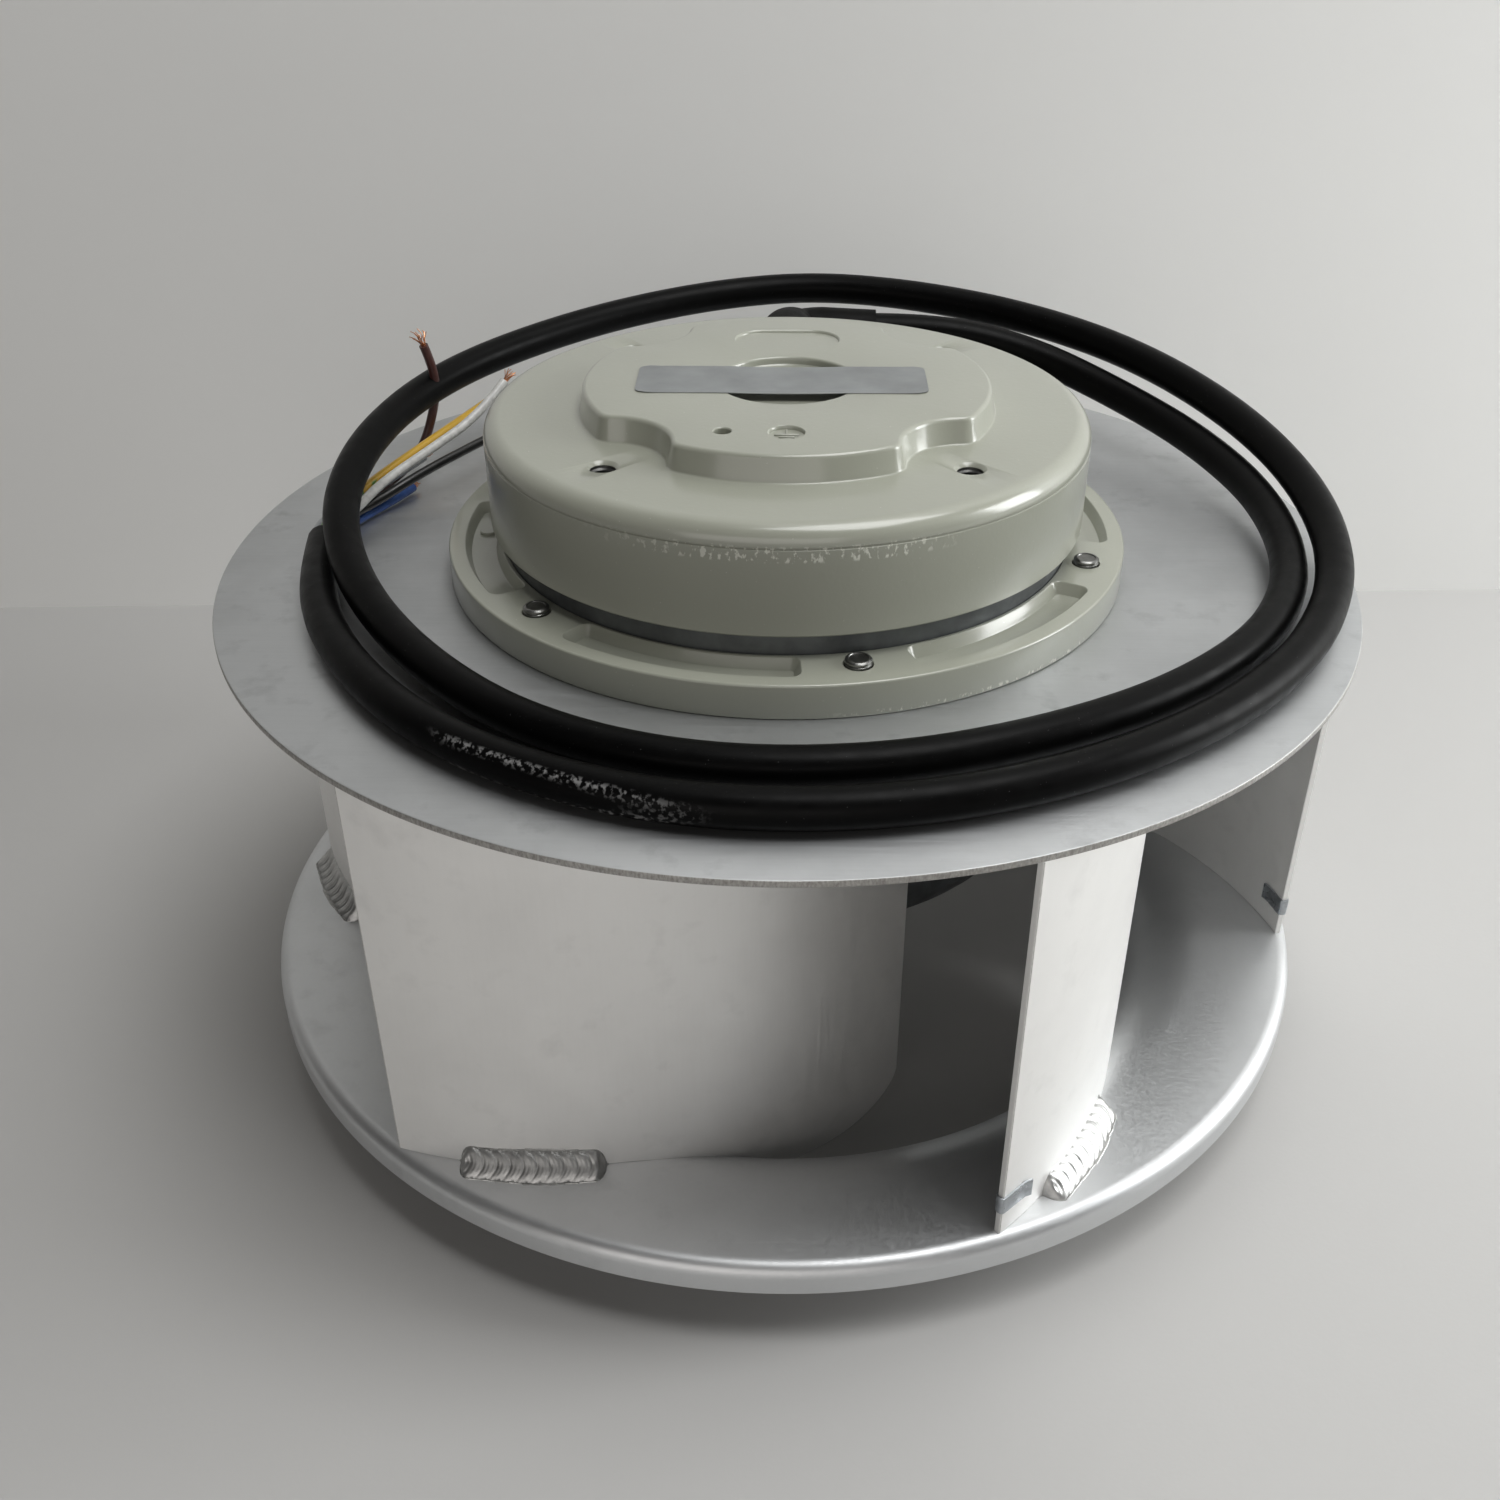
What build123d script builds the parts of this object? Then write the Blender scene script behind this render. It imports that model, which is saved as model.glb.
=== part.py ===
from build123d import *
from math import atan2, cos, degrees, hypot, pi, radians, sin, sqrt, tan
import os

# Centrifugal fan: a backward-curved impeller in welded sheet on an external-rotor motor.
# Millimetres. The Z axis is the shaft, and Z = 0 is the lower end of the inlet collar.

os.makedirs("parts", exist_ok=True)

# Impeller
sheet = 1.6
plate_r = 141.0
plate_top = 128.0
plate_bottom = plate_top - sheet
blade_count = 6
blade_first = -129.9
blade_wrap = 60.6
blade_bow = 114.0
blade_tip_r = plate_r - sheet / 2
blade_low = 10.3
blade_corner = 12.0
rim_r = plate_r + 2.0
rim_round = 3.5
lip_low = 16.0
annulus_top = 24.0
throat_r = 99.0
throat_round = 20.0
throat_low = annulus_top - throat_round

# Weld beads, placed by their angle along the blade from its tip
bead_leg = 5.0
bead_start = 8.0
bead_sweep = 17.0
hidden_bead_sweep = 40.0

# Balance clips on the trailing edges of two blades
clip_blades = (1, 2)
clip_low = annulus_top + 6.8
clip_height = 4.8
clip_reach = 9.0
clip_overhang = 0.6
clip_gauge = 0.5

# Rotor: a steel bell and a cast flange ring shrunk onto it, which lies on the plate
bell_r = 70.3
bell_wall = 4.3
bell_bore = bell_r - bell_wall
bell_low = 53.0
bell_floor = 5.0
bell_round = 16.0
bell_clearance = 0.3
flange_height = 8.3
flange_top = plate_top + flange_height
flange_edge = 0.6
band_height = 4.9
bell_top = flange_top + band_height
hub_r = 14.0
hub_height = 16.0
hub_top = bell_low + bell_floor + hub_height

# Screws through the plate into the flange, their heads between the bell and the blades
screw_count = 6
screw_r = 3.0
screw_first = -138.0
screw_proud = 1.5
screw_head_r = 5.0
screw_head_height = 5.5
screw_head_gap = 0.6
screw_circle = bell_r + screw_head_r + screw_head_gap
blade_inner_r = screw_circle + screw_head_r + 0.1
washer_r = screw_head_r - 0.05
washer_height = 1.6
thread_clearance = 0.05
hole_clearance = 0.3

# Flange ring outside the screws, and its pockets
flange_r = screw_circle + screw_r + 5.3
pocket_inner = bell_r + 1.2
pocket_outer = flange_r - 4.2
pocket_span = 41.0
pocket_first = -108.0
pocket_depth = 2.8
pocket_corner = 2.5

# Shaft and bearings, size 6201
shaft_r = 6.0
bearing_r = 16.0
bearing_width = 10.0
race_inner_r = 9.2
race_outer_r = 12.8
ball_r = 2.975
ball_circle = 11.0
ball_count = 7
ball_clearance = 0.125
spigot_r = 8.5
spigot_height = 4.0
lower_bearing = hub_top + spigot_height
bearing_pitch = 64.0
upper_bearing = lower_bearing + bearing_pitch
spring_height = 1.5
circlip_gauge = 1.1
circlip_groove = 0.5
shaft_beyond = 2.5

# Stator cover
cover_r = bell_r + 3.0
cover_gap = 0.6
cover_low = bell_top + cover_gap
cover_height = 25.2
cover_top = cover_low + cover_height
cover_wall = 4.0
cover_roof = 5.0
cover_ceiling = cover_top - cover_roof
cover_round = 4.3
seam_height = 20.4
seam_width = 0.5
seam_depth = 0.35
plateau_r = 50.0
plateau_height = 6.0
plateau_draft = 9.5
plateau_top = cover_top + plateau_height
scallop_r = 14.3
scallop_corner = 5.0
mount_circle = 57.5
mount_tap_r = 2.5
mount_mouth_r = 3.5
mount_boss_r = 8.0
mount_depth = 14.0
recess_r = 16.7
recess_depth = 2.0
oval_length = 26.4
oval_width = 13.9
oval_place = 31.0
mark_r = 4.1
mark_place = -35.0
shallow = 0.6
vent_r = 2.0
vent_place = (-14.3, -34.4)
vent_depth = 3.5

# Label on the plateau
label_low_x = -36.0
label_high_x = 33.5
label_low_y = -10.0
label_high_y = 9.0
label_gauge = 0.4
label_corner = 2.5

# Stator inside the bell
bush_r = 21.0
bush_bore = 14.0
bush_low = hub_top + 2.0
bush_flange_r = 34.0
bush_flange_height = 6.0
bush_screw_circle = 28.0
bush_screw_r = 2.0
bush_screw_head_r = 3.5
bush_screw_head = 4.0
bush_screw_grip = 6.0
bore_clip_gauge = 1.2
stack_low = hub_top + 6.0
stack_height = 46.0
stack_top = stack_low + stack_height
rotor_ring = 9.0
air_gap = 0.5
stack_r = bell_bore - rotor_ring - air_gap
slot_count = 24
slot_inner = 34.0
slot_outer = stack_r - 3.5
slot_width = 4.5
slot_mouth = 2.0
slot_liner = 0.3
end_turn = 10.0
bar_count = 30
bar_r = 1.8
bar_circle = bell_bore - rotor_ring / 2
end_ring_height = 4.0
end_ring_width = 5.6
contact_size = (14.0, 7.0, 3.0)

# Gland on the cover's side, an elbow that turns to +X
gland_r = 6.0
gland_above = 28.0
gland_height = plate_top + gland_above
gland_neck_r = 5.2
gland_collar_r = 8.4
gland_collar = 15.0
gland_turn = 10.5
gland_reach = 95.0
gland_mouth = 26.0
gland_mouth_r = 5.4
gland_taper = 12.0
lead_sleeve_r = 2.6
lead_bend = 5.0
lead_corner = 6.0

# Cable on the plate: each point is x, y and the height above the plate
cable_r = 4.45
core_r = 1.25
core_circle = 2.7
cable_route = [
    (gland_mouth, gland_reach, gland_above),
    (46, gland_reach, gland_above), (72, 92, 22.5), (96, 75, 15.5), (114.5, 50, 11), (125.5, 17, 7.5),
    (123.5, -21, 5.6), (110, -52, 4.9), (86, -78, 4.8), (55, -97.5, 4.8), (19, -110, 4.8),
    (-19, -110, 4.8), (-53, -95.5, 4.8), (-81, -68, 5.2), (-101.5, -37, 8.7), (-111, -9, 14.7),
    (-110.8, 16, 19.5), (-105.5, 42, 22), (-94, 65, 24.5), (-75.5, 87, 26.5), (-51, 107, 28.5),
    (-22, 122.5, 30), (8, 128.5, 31), (40, 121, 30.5), (72, 106, 28.5), (101, 82, 25),
    (123, 49, 19.5), (134, 13, 14), (133, -24, 9), (119, -57.5, 6), (95, -86.5, 4.9),
    (62, -110.5, 4.8), (24, -124, 4.8), (-15, -125, 4.8), (-49, -114, 4.8), (-78, -93, 4.8),
    (-100, -63, 4.8), (-112.5, -32, 4.8), (-116, -6, 4.8),
]

# Cores: the place on the jacket's end face in degrees, then the points after a short straight run
core_straight = 6.5
core_routes = {
    "core_yellow_green": (90, [(-113.5, 13, 7.8), (-110.2, 27, 8), (-99.1, 46.5, 10.9), (-86, 74, 13.4)]),
    "core_white": (30, [(-111.5, 10, 6.8), (-108.2, 24.5, 7.8), (-97.6, 40, 11.2),
                        (-86.6, 56, 15), (-80, 64.4, 22)]),
    "core_black": (-30, [(-113.8, 10.5, 4.6), (-109.2, 19.5, 4.3), (-98.8, 32.5, 7.6),
                         (-86.3, 49.5, 9.4), (-81.5, 56, 10)]),
    "core_grey": (150, [(-116.5, 15, 5.1), (-111.6, 27, 5), (-105, 36.5, 6.4), (-100.2, 42.3, 8.2)]),
    "core_blue": (-90, [(-113.8, 12, 1.7), (-109.8, 21.5, 1.5), (-105, 30.5, 1.7), (-102.8, 36, 1.8)]),
    "core_brown": (210, [(-117.2, 14, 2), (-113, 30, 1.8), (-107, 45, 2.6), (-102.4, 53.2, 7), (-98.4, 54.5, 18),
                         (-96.5, 53, 28), (-98.6, 50.9, 36.5)]),
}


def turned(profile):
    """Turn an (r, z) face about the Z axis."""
    return revolve(Plane.XZ * profile, Axis.Z)


def disc(radius, low, high):
    return Pos(0, 0, low) * Cylinder(radius, high - low, align=(Align.CENTER, Align.CENTER, Align.MIN))


def ring(outer, inner, low, high):
    return disc(outer, low, high) - disc(inner, low, high)


def around(count, first, item):
    """Copies of an item at equal steps about the Z axis."""
    return [Rot(0, 0, first + 360.0 / count * step) * item for step in range(count)]


def region(low_r, high_r, low, high):
    """A rectangle in the (r, z) plane."""
    return Pos((low_r + high_r) / 2, (low + high) / 2) * Rectangle(high_r - low_r, high - low)


def save(name, shape):
    export_step(shape, f"parts/{name}.step")
    solids = len(shape.solids())
    print(f"{name}: {solids} solid(s), {shape.volume / 1000:.2f} cm3, valid {shape.is_valid}")


# Blade bow: its centre and its first angle, for a blade whose tip lies on +X

def blade_bow_frame():
    wrap = radians(blade_wrap)
    tip = (blade_tip_r, 0.0)
    inner = (blade_inner_r * cos(wrap), blade_inner_r * sin(wrap))
    chord = hypot(inner[0] - tip[0], inner[1] - tip[1])
    along = ((inner[0] - tip[0]) / chord, (inner[1] - tip[1]) / chord)
    depth = sqrt(blade_bow ** 2 - (chord / 2) ** 2)
    centre_x = (tip[0] + inner[0]) / 2 - depth * along[1]
    centre_y = (tip[1] + inner[1]) / 2 + depth * along[0]
    first = degrees(atan2(tip[1] - centre_y, tip[0] - centre_x))
    last = degrees(atan2(inner[1] - centre_y, inner[0] - centre_x))
    return centre_x, centre_y, first, last - first


bow_x, bow_y, bow_first, bow_sweep = blade_bow_frame()


def along_bow(profile, start, sweep):
    """Turn a (radius, z) face about the bow's centre, from an angle counted from the blade's tip."""
    angle = radians(bow_first + start)
    section = Plane(origin=(bow_x, bow_y, 0), x_dir=(cos(angle), sin(angle), 0),
                    z_dir=(sin(angle), -cos(angle), 0))
    return revolve(section * profile, Axis((bow_x, bow_y, 0), (0, 0, 1)), sweep)


def at_blade(index, item):
    return Rot(0, 0, blade_first + 360.0 / blade_count * index) * item


def shroud_surface(inset):
    """The shroud's air side, moved below itself by the inset, from the collar's end to the lip."""
    centre_x = throat_r + throat_round
    rim_x = rim_r - rim_round
    rim_z = annulus_top - rim_round
    collar = Line((throat_r + inset, 0), (throat_r + inset, throat_low))
    throat = CenterArc((centre_x, throat_low), throat_round - inset, 180, -90)
    flat = Line((centre_x, annulus_top - inset), (rim_x, annulus_top - inset))
    rim = CenterArc((rim_x, rim_z), rim_round - inset, 90, -90)
    lip = Line((rim_r - inset, rim_z), (rim_r - inset, lip_low))
    return collar + throat + flat + rim + lip


def inlet_shroud():
    outline = shroud_surface(0) + shroud_surface(sheet)
    outline += Line((throat_r, 0), (throat_r + sheet, 0))
    outline += Line((rim_r, lip_low), (rim_r - sheet, lip_low))
    return turned(make_face(outline))


def below_shroud():
    """Everything on the far side of the shroud's air side, to trim the blades with."""
    outline = shroud_surface(0)
    outline += Polyline((throat_r, 0), (throat_r, -sheet), (2 * rim_r, -sheet),
                        (2 * rim_r, lip_low), (rim_r, lip_low))
    return turned(make_face(outline))


def blade():
    band = region(blade_bow - sheet / 2, blade_bow + sheet / 2, blade_low, plate_bottom)
    shape = along_bow(band, 0, bow_sweep) - below_shroud()
    corner = region(blade_inner_r - blade_corner, blade_inner_r + blade_corner,
                    blade_low - blade_corner, blade_low + blade_corner)
    corner -= Pos(blade_inner_r + blade_corner, blade_low + blade_corner) * Circle(blade_corner)
    return shape - turned(corner)


def bead(corner_z, up):
    """A weld bead in the corner between a blade's outer face and a sheet."""
    corner_r = blade_bow + sheet / 2
    belly = 0.62 * bead_leg
    outline = Line((corner_r, corner_z + up * bead_leg), (corner_r, corner_z))
    outline += Line((corner_r, corner_z), (corner_r + bead_leg, corner_z))
    outline += ThreePointArc((corner_r + bead_leg, corner_z), (corner_r + belly, corner_z + up * belly),
                             (corner_r, corner_z + up * bead_leg))
    return make_face(outline)


def balance_clip():
    half = sheet / 2 + clip_gauge
    start = -degrees(clip_overhang / blade_bow)
    reach = degrees((clip_reach + clip_overhang) / blade_bow)
    shape = along_bow(region(blade_bow - half, blade_bow + half, clip_low, clip_low + clip_height), start, reach)
    slot = region(blade_bow - sheet / 2, blade_bow + sheet / 2, clip_low - 1, clip_low + clip_height + 1)
    return shape - along_bow(slot, 0, reach)


# Impeller sheet metal

plate = ring(plate_r, bell_r + bell_clearance, plate_bottom, plate_top)
plate -= around(screw_count, screw_first, Pos(screw_circle, 0, 0) * disc(screw_r + hole_clearance, plate_bottom, plate_top))
save("back_plate", plate)
save("inlet_shroud", inlet_shroud())
one_blade = blade()
for index in range(blade_count):
    save(f"blade_{index + 1}", at_blade(index, one_blade))
foot_bead = along_bow(bead(annulus_top, 1), bead_start, bead_sweep)
top_bead = along_bow(bead(plate_bottom, -1), bead_start, hidden_bead_sweep)
save("shroud_welds", Compound([at_blade(index, foot_bead) for index in range(blade_count)]))
save("back_plate_welds", Compound([at_blade(index, top_bead) for index in range(blade_count)]))
save("balance_clips", Compound([at_blade(index, balance_clip()) for index in clip_blades]))


# Rotor

def pocket():
    half = radians(pocket_span / 2)
    outer = [(pocket_outer * cos(a), pocket_outer * sin(a)) for a in (-half, 0, half)]
    inner = [(pocket_inner * cos(a), pocket_inner * sin(a)) for a in (half, 0, -half)]
    outline = ThreePointArc(*outer) + Line(outer[2], inner[0])
    outline += ThreePointArc(*inner) + Line(inner[2], outer[0])
    face = make_face(outline)
    face = fillet(face.vertices(), pocket_corner)
    return Pos(0, 0, flange_top - pocket_depth) * extrude(face, 2 * pocket_depth)


def rotor_flange():
    shape = disc(flange_r, plate_top, flange_top)
    shape = fillet(shape.edges().filter_by(GeomType.CIRCLE).sort_by(Axis.Z)[-1], flange_edge)
    shape -= disc(bell_r, plate_top, flange_top)
    shape -= around(screw_count, pocket_first, pocket())
    tapped = Pos(screw_circle, 0, 0) * disc(screw_r + thread_clearance, plate_top, flange_top)
    return shape - around(screw_count, screw_first, tapped)


def rotor_bell():
    outside = disc(bell_r, bell_low, bell_top)
    outside = fillet(outside.edges().sort_by(Axis.Z)[0], bell_round)
    inside = disc(bell_bore, bell_low + bell_floor, bell_top + bell_wall)
    inside = fillet(inside.edges().sort_by(Axis.Z)[0], bell_round - bell_wall)
    shape = outside - inside
    shape += disc(hub_r, bell_low + bell_floor / 2, hub_top)
    shape += disc(spigot_r, hub_top, lower_bearing)
    return shape - disc(shaft_r, bell_low, lower_bearing)


save("rotor_flange", rotor_flange())
save("rotor_bell", rotor_bell())
head_top = plate_bottom - washer_height
flange_screw = disc(screw_r, head_top, flange_top + screw_proud)
flange_screw += disc(screw_head_r, head_top - screw_head_height, head_top)
flange_washer = ring(washer_r, screw_r + hole_clearance, head_top, plate_bottom)
screw_place = Pos(screw_circle, 0, 0)
save("flange_screws", Compound(around(screw_count, screw_first, screw_place * flange_screw)))
save("flange_washers", Compound(around(screw_count, screw_first, screw_place * flange_washer)))


# Shaft and bearings

circlip_low = upper_bearing + bearing_width
shaft_top = circlip_low + circlip_gauge + shaft_beyond
shaft = disc(shaft_r, bell_low, shaft_top)
shaft -= ring(2 * shaft_r, shaft_r - circlip_groove, circlip_low, circlip_low + circlip_gauge)
save("shaft", shaft)
circlip = ring(shaft_r + 2.5, shaft_r - circlip_groove, circlip_low, circlip_low + circlip_gauge)
save("shaft_circlip", circlip - Pos(shaft_r + 2, 0, 0) * Box(4, 3, 4 * upper_bearing))


def races(low):
    groove = Pos(0, 0, low + bearing_width / 2) * Torus(ball_circle, ball_r + ball_clearance)
    inner = ring(race_inner_r, shaft_r, low, low + bearing_width) - groove
    outer = ring(bearing_r, race_outer_r, low, low + bearing_width) - groove
    return inner, outer


def balls(low):
    return around(ball_count, 0, Pos(ball_circle, 0, low + bearing_width / 2) * Sphere(ball_r))


lower_inner, lower_outer = races(lower_bearing)
upper_inner, upper_outer = races(upper_bearing)
save("lower_inner_race", lower_inner)
save("lower_outer_race", lower_outer)
save("upper_inner_race", upper_inner)
save("upper_outer_race", upper_outer)
save("bearing_balls", Compound(balls(lower_bearing) + balls(upper_bearing)))


# Stator cover

def mount_places():
    return around(4, 45, Pos(mount_circle, 0, 0))


def plateau():
    outline = Circle(plateau_r) - [place * Circle(scallop_r) for place in mount_places()]
    outline = fillet(outline.vertices(), scallop_corner)
    return Pos(0, 0, cover_top) * extrude(outline, plateau_height, taper=plateau_draft)


def stator_cover():
    shell = disc(cover_r, cover_low, cover_top)
    shell = fillet(shell.edges().filter_by(GeomType.CIRCLE).sort_by(Axis.Z)[-1], cover_round)
    seam = cover_low + seam_height
    shell -= ring(cover_r + seam_depth, cover_r - seam_depth, seam - seam_width / 2, seam + seam_width / 2)
    shell -= disc(cover_r - cover_wall, cover_low, cover_ceiling)
    boss_low = cover_top - mount_depth
    shell += [place * disc(mount_boss_r, boss_low, cover_ceiling) for place in mount_places()]
    shell += plateau()
    mouth = mount_mouth_r - mount_tap_r
    cone = Pos(0, 0, cover_top - mouth) * Cone(mount_tap_r, mount_mouth_r, mouth,
                                               align=(Align.CENTER, Align.CENTER, Align.MIN))
    shell -= [place * disc(mount_tap_r, boss_low, cover_top) for place in mount_places()]
    shell -= [place * cone for place in mount_places()]
    shell -= disc(recess_r, plateau_top - recess_depth, plateau_top)
    shell -= Pos(0, oval_place, plateau_top - shallow) * extrude(SlotOverall(oval_length, oval_width), shallow)
    shell -= Pos(0, mark_place, 0) * disc(mark_r, plateau_top - shallow, plateau_top)
    shell -= Pos(*vent_place, 0) * disc(vent_r, plateau_top - vent_depth, plateau_top)
    screw_hole = disc(bush_screw_r + thread_clearance, cover_ceiling, cover_ceiling + bush_screw_grip + 1)
    shell -= around(4, 0, Pos(bush_screw_circle, 0, 0) * screw_hole)
    side_hole = Plane(origin=(0, cover_r - 2 * cover_wall, gland_height), z_dir=(0, 1, 0))
    shell -= extrude(side_hole * Circle(gland_neck_r + thread_clearance), 3 * cover_wall)
    return shell


save("stator_cover", stator_cover())
label = RectangleRounded(label_high_x - label_low_x, label_high_y - label_low_y, label_corner)
label_middle = Pos((label_low_x + label_high_x) / 2, (label_low_y + label_high_y) / 2, plateau_top)
save("rating_label", label_middle * extrude(label, label_gauge))


# Stator core and winding

bush_shoulder_low = lower_bearing + bearing_width
bush_shoulder_high = upper_bearing - spring_height
bush_flange_low = cover_ceiling - bush_flange_height
bore_clip_low = lower_bearing - bore_clip_gauge
bush = disc(bush_r, bush_low, cover_ceiling)
bush += disc(bush_flange_r, bush_flange_low, cover_ceiling)
bush -= disc(bush_bore, bush_low, cover_ceiling)
bush -= disc(bearing_r, bush_low, bush_shoulder_low)
bush -= disc(bearing_r, bush_shoulder_high, cover_ceiling)
bush -= disc(bearing_r + 1, bore_clip_low, lower_bearing)
bush_hole = disc(bush_screw_r + hole_clearance, bush_flange_low, cover_ceiling)
bush -= around(4, 0, Pos(bush_screw_circle, 0, 0) * bush_hole)
save("stator_bush", bush)
bush_screw = disc(bush_screw_r, bush_flange_low, cover_ceiling + bush_screw_grip)
bush_screw += disc(bush_screw_head_r, bush_flange_low - bush_screw_head, bush_flange_low)
save("bush_screws", Compound(around(4, 0, Pos(bush_screw_circle, 0, 0) * bush_screw)))
spring = ring(bearing_r - thread_clearance, bush_bore + 0.4, bush_shoulder_high, upper_bearing)
save("wave_spring", spring)
bore_clip = ring(bearing_r + 0.9, race_outer_r + 1, bore_clip_low, lower_bearing)
save("bore_circlip", bore_clip - Pos(bearing_r, 0, 0) * Box(8, 8, 4 * lower_bearing))

slot_length = slot_outer - slot_inner
slot = Pos((slot_inner + slot_outer) / 2, 0) * Rectangle(slot_length, slot_width)
slot += Pos(slot_outer + (stack_r - slot_outer) / 2, 0) * Rectangle(stack_r - slot_outer + 1, slot_mouth)
sheet_outline = Circle(stack_r) - Circle(bush_r) - around(slot_count, 0, slot)
save("stator_laminations", Pos(0, 0, stack_low) * extrude(sheet_outline, stack_height))
wire_inner = slot_inner + slot_liner
wire_outer = slot_outer - slot_liner
wire = Pos((wire_inner + wire_outer) / 2, 0) * Rectangle(wire_outer - wire_inner, slot_width - 2 * slot_liner)
wires = Sketch() + around(slot_count, 0, wire)
winding = Pos(0, 0, stack_low) * extrude(wires, stack_height)
winding += ring(wire_outer, wire_inner, stack_low - end_turn, stack_low)
winding += ring(wire_outer, wire_inner, stack_top, stack_top + end_turn)
save("stator_winding", winding)
contact_place = Pos((wire_inner + wire_outer) / 2, 0, stack_top + end_turn + contact_size[2] / 2)
save("thermal_contact", contact_place * Box(contact_size[1], contact_size[0], contact_size[2]))

rotor_inner = bell_bore - rotor_ring
rotor_sheet = Circle(bell_bore) - Circle(rotor_inner)
rotor_sheet -= around(bar_count, 0, Pos(bar_circle, 0) * Circle(bar_r))
save("rotor_laminations", Pos(0, 0, stack_low) * extrude(rotor_sheet, stack_height))
bars = Sketch() + around(bar_count, 0, Pos(bar_circle, 0) * Circle(bar_r - thread_clearance))
cage = Pos(0, 0, stack_low) * extrude(bars, stack_height)
cage_outer = bar_circle + end_ring_width / 2
cage_inner = bar_circle - end_ring_width / 2
cage += ring(cage_outer, cage_inner, stack_low - end_ring_height, stack_low)
cage += ring(cage_outer, cage_inner, stack_top, stack_top + end_ring_height)
save("rotor_cage", cage)


# Gland, leads and cable

def rounded_path(points):
    """Straight runs joined by arcs, each as large as its two runs allow."""
    places = [Vector(*point) for point in points]
    radii = []
    for before, here, after in zip(places, places[1:], places[2:]):
        turn = radians((here - before).get_angle(after - here))
        run = min((here - before).length, (after - here).length)
        radii.append(0.45 * run / tan(turn / 2))
    return FilletPolyline(*places, radius=radii), radii


def tube(path, radius):
    return sweep(Plane(origin=path @ 0, z_dir=path % 0) * Circle(radius), path)


def cord(name, points, radius):
    path, radii = rounded_path(points)
    shape = tube(path, radius)
    expected = pi * radius ** 2 * path.length
    print(f"{name}: length {path.length:.0f}, radii {[round(value) for value in radii]}")
    print(f"{name}: volume over section x length {shape.volume / expected:.4f}")
    save(name, shape)


def gland():
    elbow = FilletPolyline((0, cover_r, gland_height), (0, gland_reach, gland_height),
                           (gland_mouth - gland_taper, gland_reach, gland_height), radius=gland_turn)
    shape = tube(elbow, gland_r)
    wall = Plane(origin=(0, cover_r - cover_wall, gland_height), z_dir=(0, 1, 0))
    shape += extrude(wall * Circle(gland_neck_r), cover_wall)
    seat = Plane(origin=(0, cover_r, gland_height), z_dir=(0, 1, 0))
    shape += extrude(seat * Circle(gland_collar_r), gland_collar)
    mouth = Plane(origin=(gland_mouth - gland_taper, gland_reach, gland_height), z_dir=(1, 0, 0))
    shape += loft([mouth * Circle(gland_r), mouth.offset(gland_taper) * Circle(gland_mouth_r)])
    return shape


save("cable_gland", gland())
lead_top = cover_r - cover_wall
winding_middle = (wire_inner + wire_outer) / 2
lead_points = [(0, lead_top, gland_height), (0, winding_middle + lead_corner, gland_height),
               (0, winding_middle, gland_height - lead_corner), (0, winding_middle, stack_top + end_turn)]
lead_path = FilletPolyline(*lead_points, radius=lead_bend)
save("winding_leads", tube(lead_path, lead_sleeve_r))

on_plate = Vector(0, 0, plate_top)
jacket_points = [Vector(*point) + on_plate for point in cable_route]
cord("cable_jacket", jacket_points, cable_r)
jacket_end = jacket_points[-1]
heading = (jacket_end - jacket_points[-2]).normalized()
across = heading.cross(Vector(0, 0, 1))
for name, (place, points) in core_routes.items():
    angle = radians(place)
    start = jacket_end + across * (core_circle * cos(angle)) + Vector(0, 0, core_circle * sin(angle))
    straight = start + heading * core_straight
    cord(name, [start, straight] + [Vector(*point) + on_plate for point in points], core_r)
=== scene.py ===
# %% [markdown]
# A backward-curved centrifugal fan stands on its inlet with the motor on top.
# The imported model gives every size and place. This lesson dresses it: the camera and the
# cable come first, then the finishes, then the pieces whose edges and marks need fine meshes.
# %% Load the frame
import math
import random

import bmesh
import bpy
from mathutils import Matrix, Vector


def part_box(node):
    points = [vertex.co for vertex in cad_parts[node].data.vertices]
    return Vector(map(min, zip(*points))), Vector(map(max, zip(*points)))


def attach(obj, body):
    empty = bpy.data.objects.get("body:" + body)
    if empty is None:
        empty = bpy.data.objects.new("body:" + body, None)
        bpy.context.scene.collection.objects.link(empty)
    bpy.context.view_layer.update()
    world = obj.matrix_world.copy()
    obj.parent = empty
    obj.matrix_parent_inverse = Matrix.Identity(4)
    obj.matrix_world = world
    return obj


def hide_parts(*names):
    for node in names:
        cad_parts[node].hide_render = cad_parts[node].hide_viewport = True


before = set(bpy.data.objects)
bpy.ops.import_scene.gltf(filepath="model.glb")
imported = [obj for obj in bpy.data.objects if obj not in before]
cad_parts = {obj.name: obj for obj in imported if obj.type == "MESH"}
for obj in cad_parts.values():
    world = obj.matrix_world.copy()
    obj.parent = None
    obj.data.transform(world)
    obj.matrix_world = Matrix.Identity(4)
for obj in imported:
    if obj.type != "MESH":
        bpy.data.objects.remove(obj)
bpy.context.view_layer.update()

mm = 0.001
plate_low, plate_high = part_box("back_plate")
plate_top = plate_high[2]
plate_r = plate_high[0]
sheet = plate_high[2] - plate_low[2]
print("plate radius", round(plate_r / mm, 1), "top", round(plate_top / mm, 1))

# %% [markdown]
# The camera repeats the photograph's view. Its place was worked out from the plate's round rim,
# the holes and the feet of the blades, so the render and the photograph share one perspective.
# The lens is a phone's main camera, given here as a focal length in pixels of the frame.
# %% Camera
frame_px = 1500
focal_px = 1573.1
principal_px = (764.8, 795.9)
camera_place = Vector((0, -370.15 * mm, plate_top + 171.46 * mm))
camera_pitch = math.radians(33.70)
camera_yaw = math.radians(-0.825)

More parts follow.
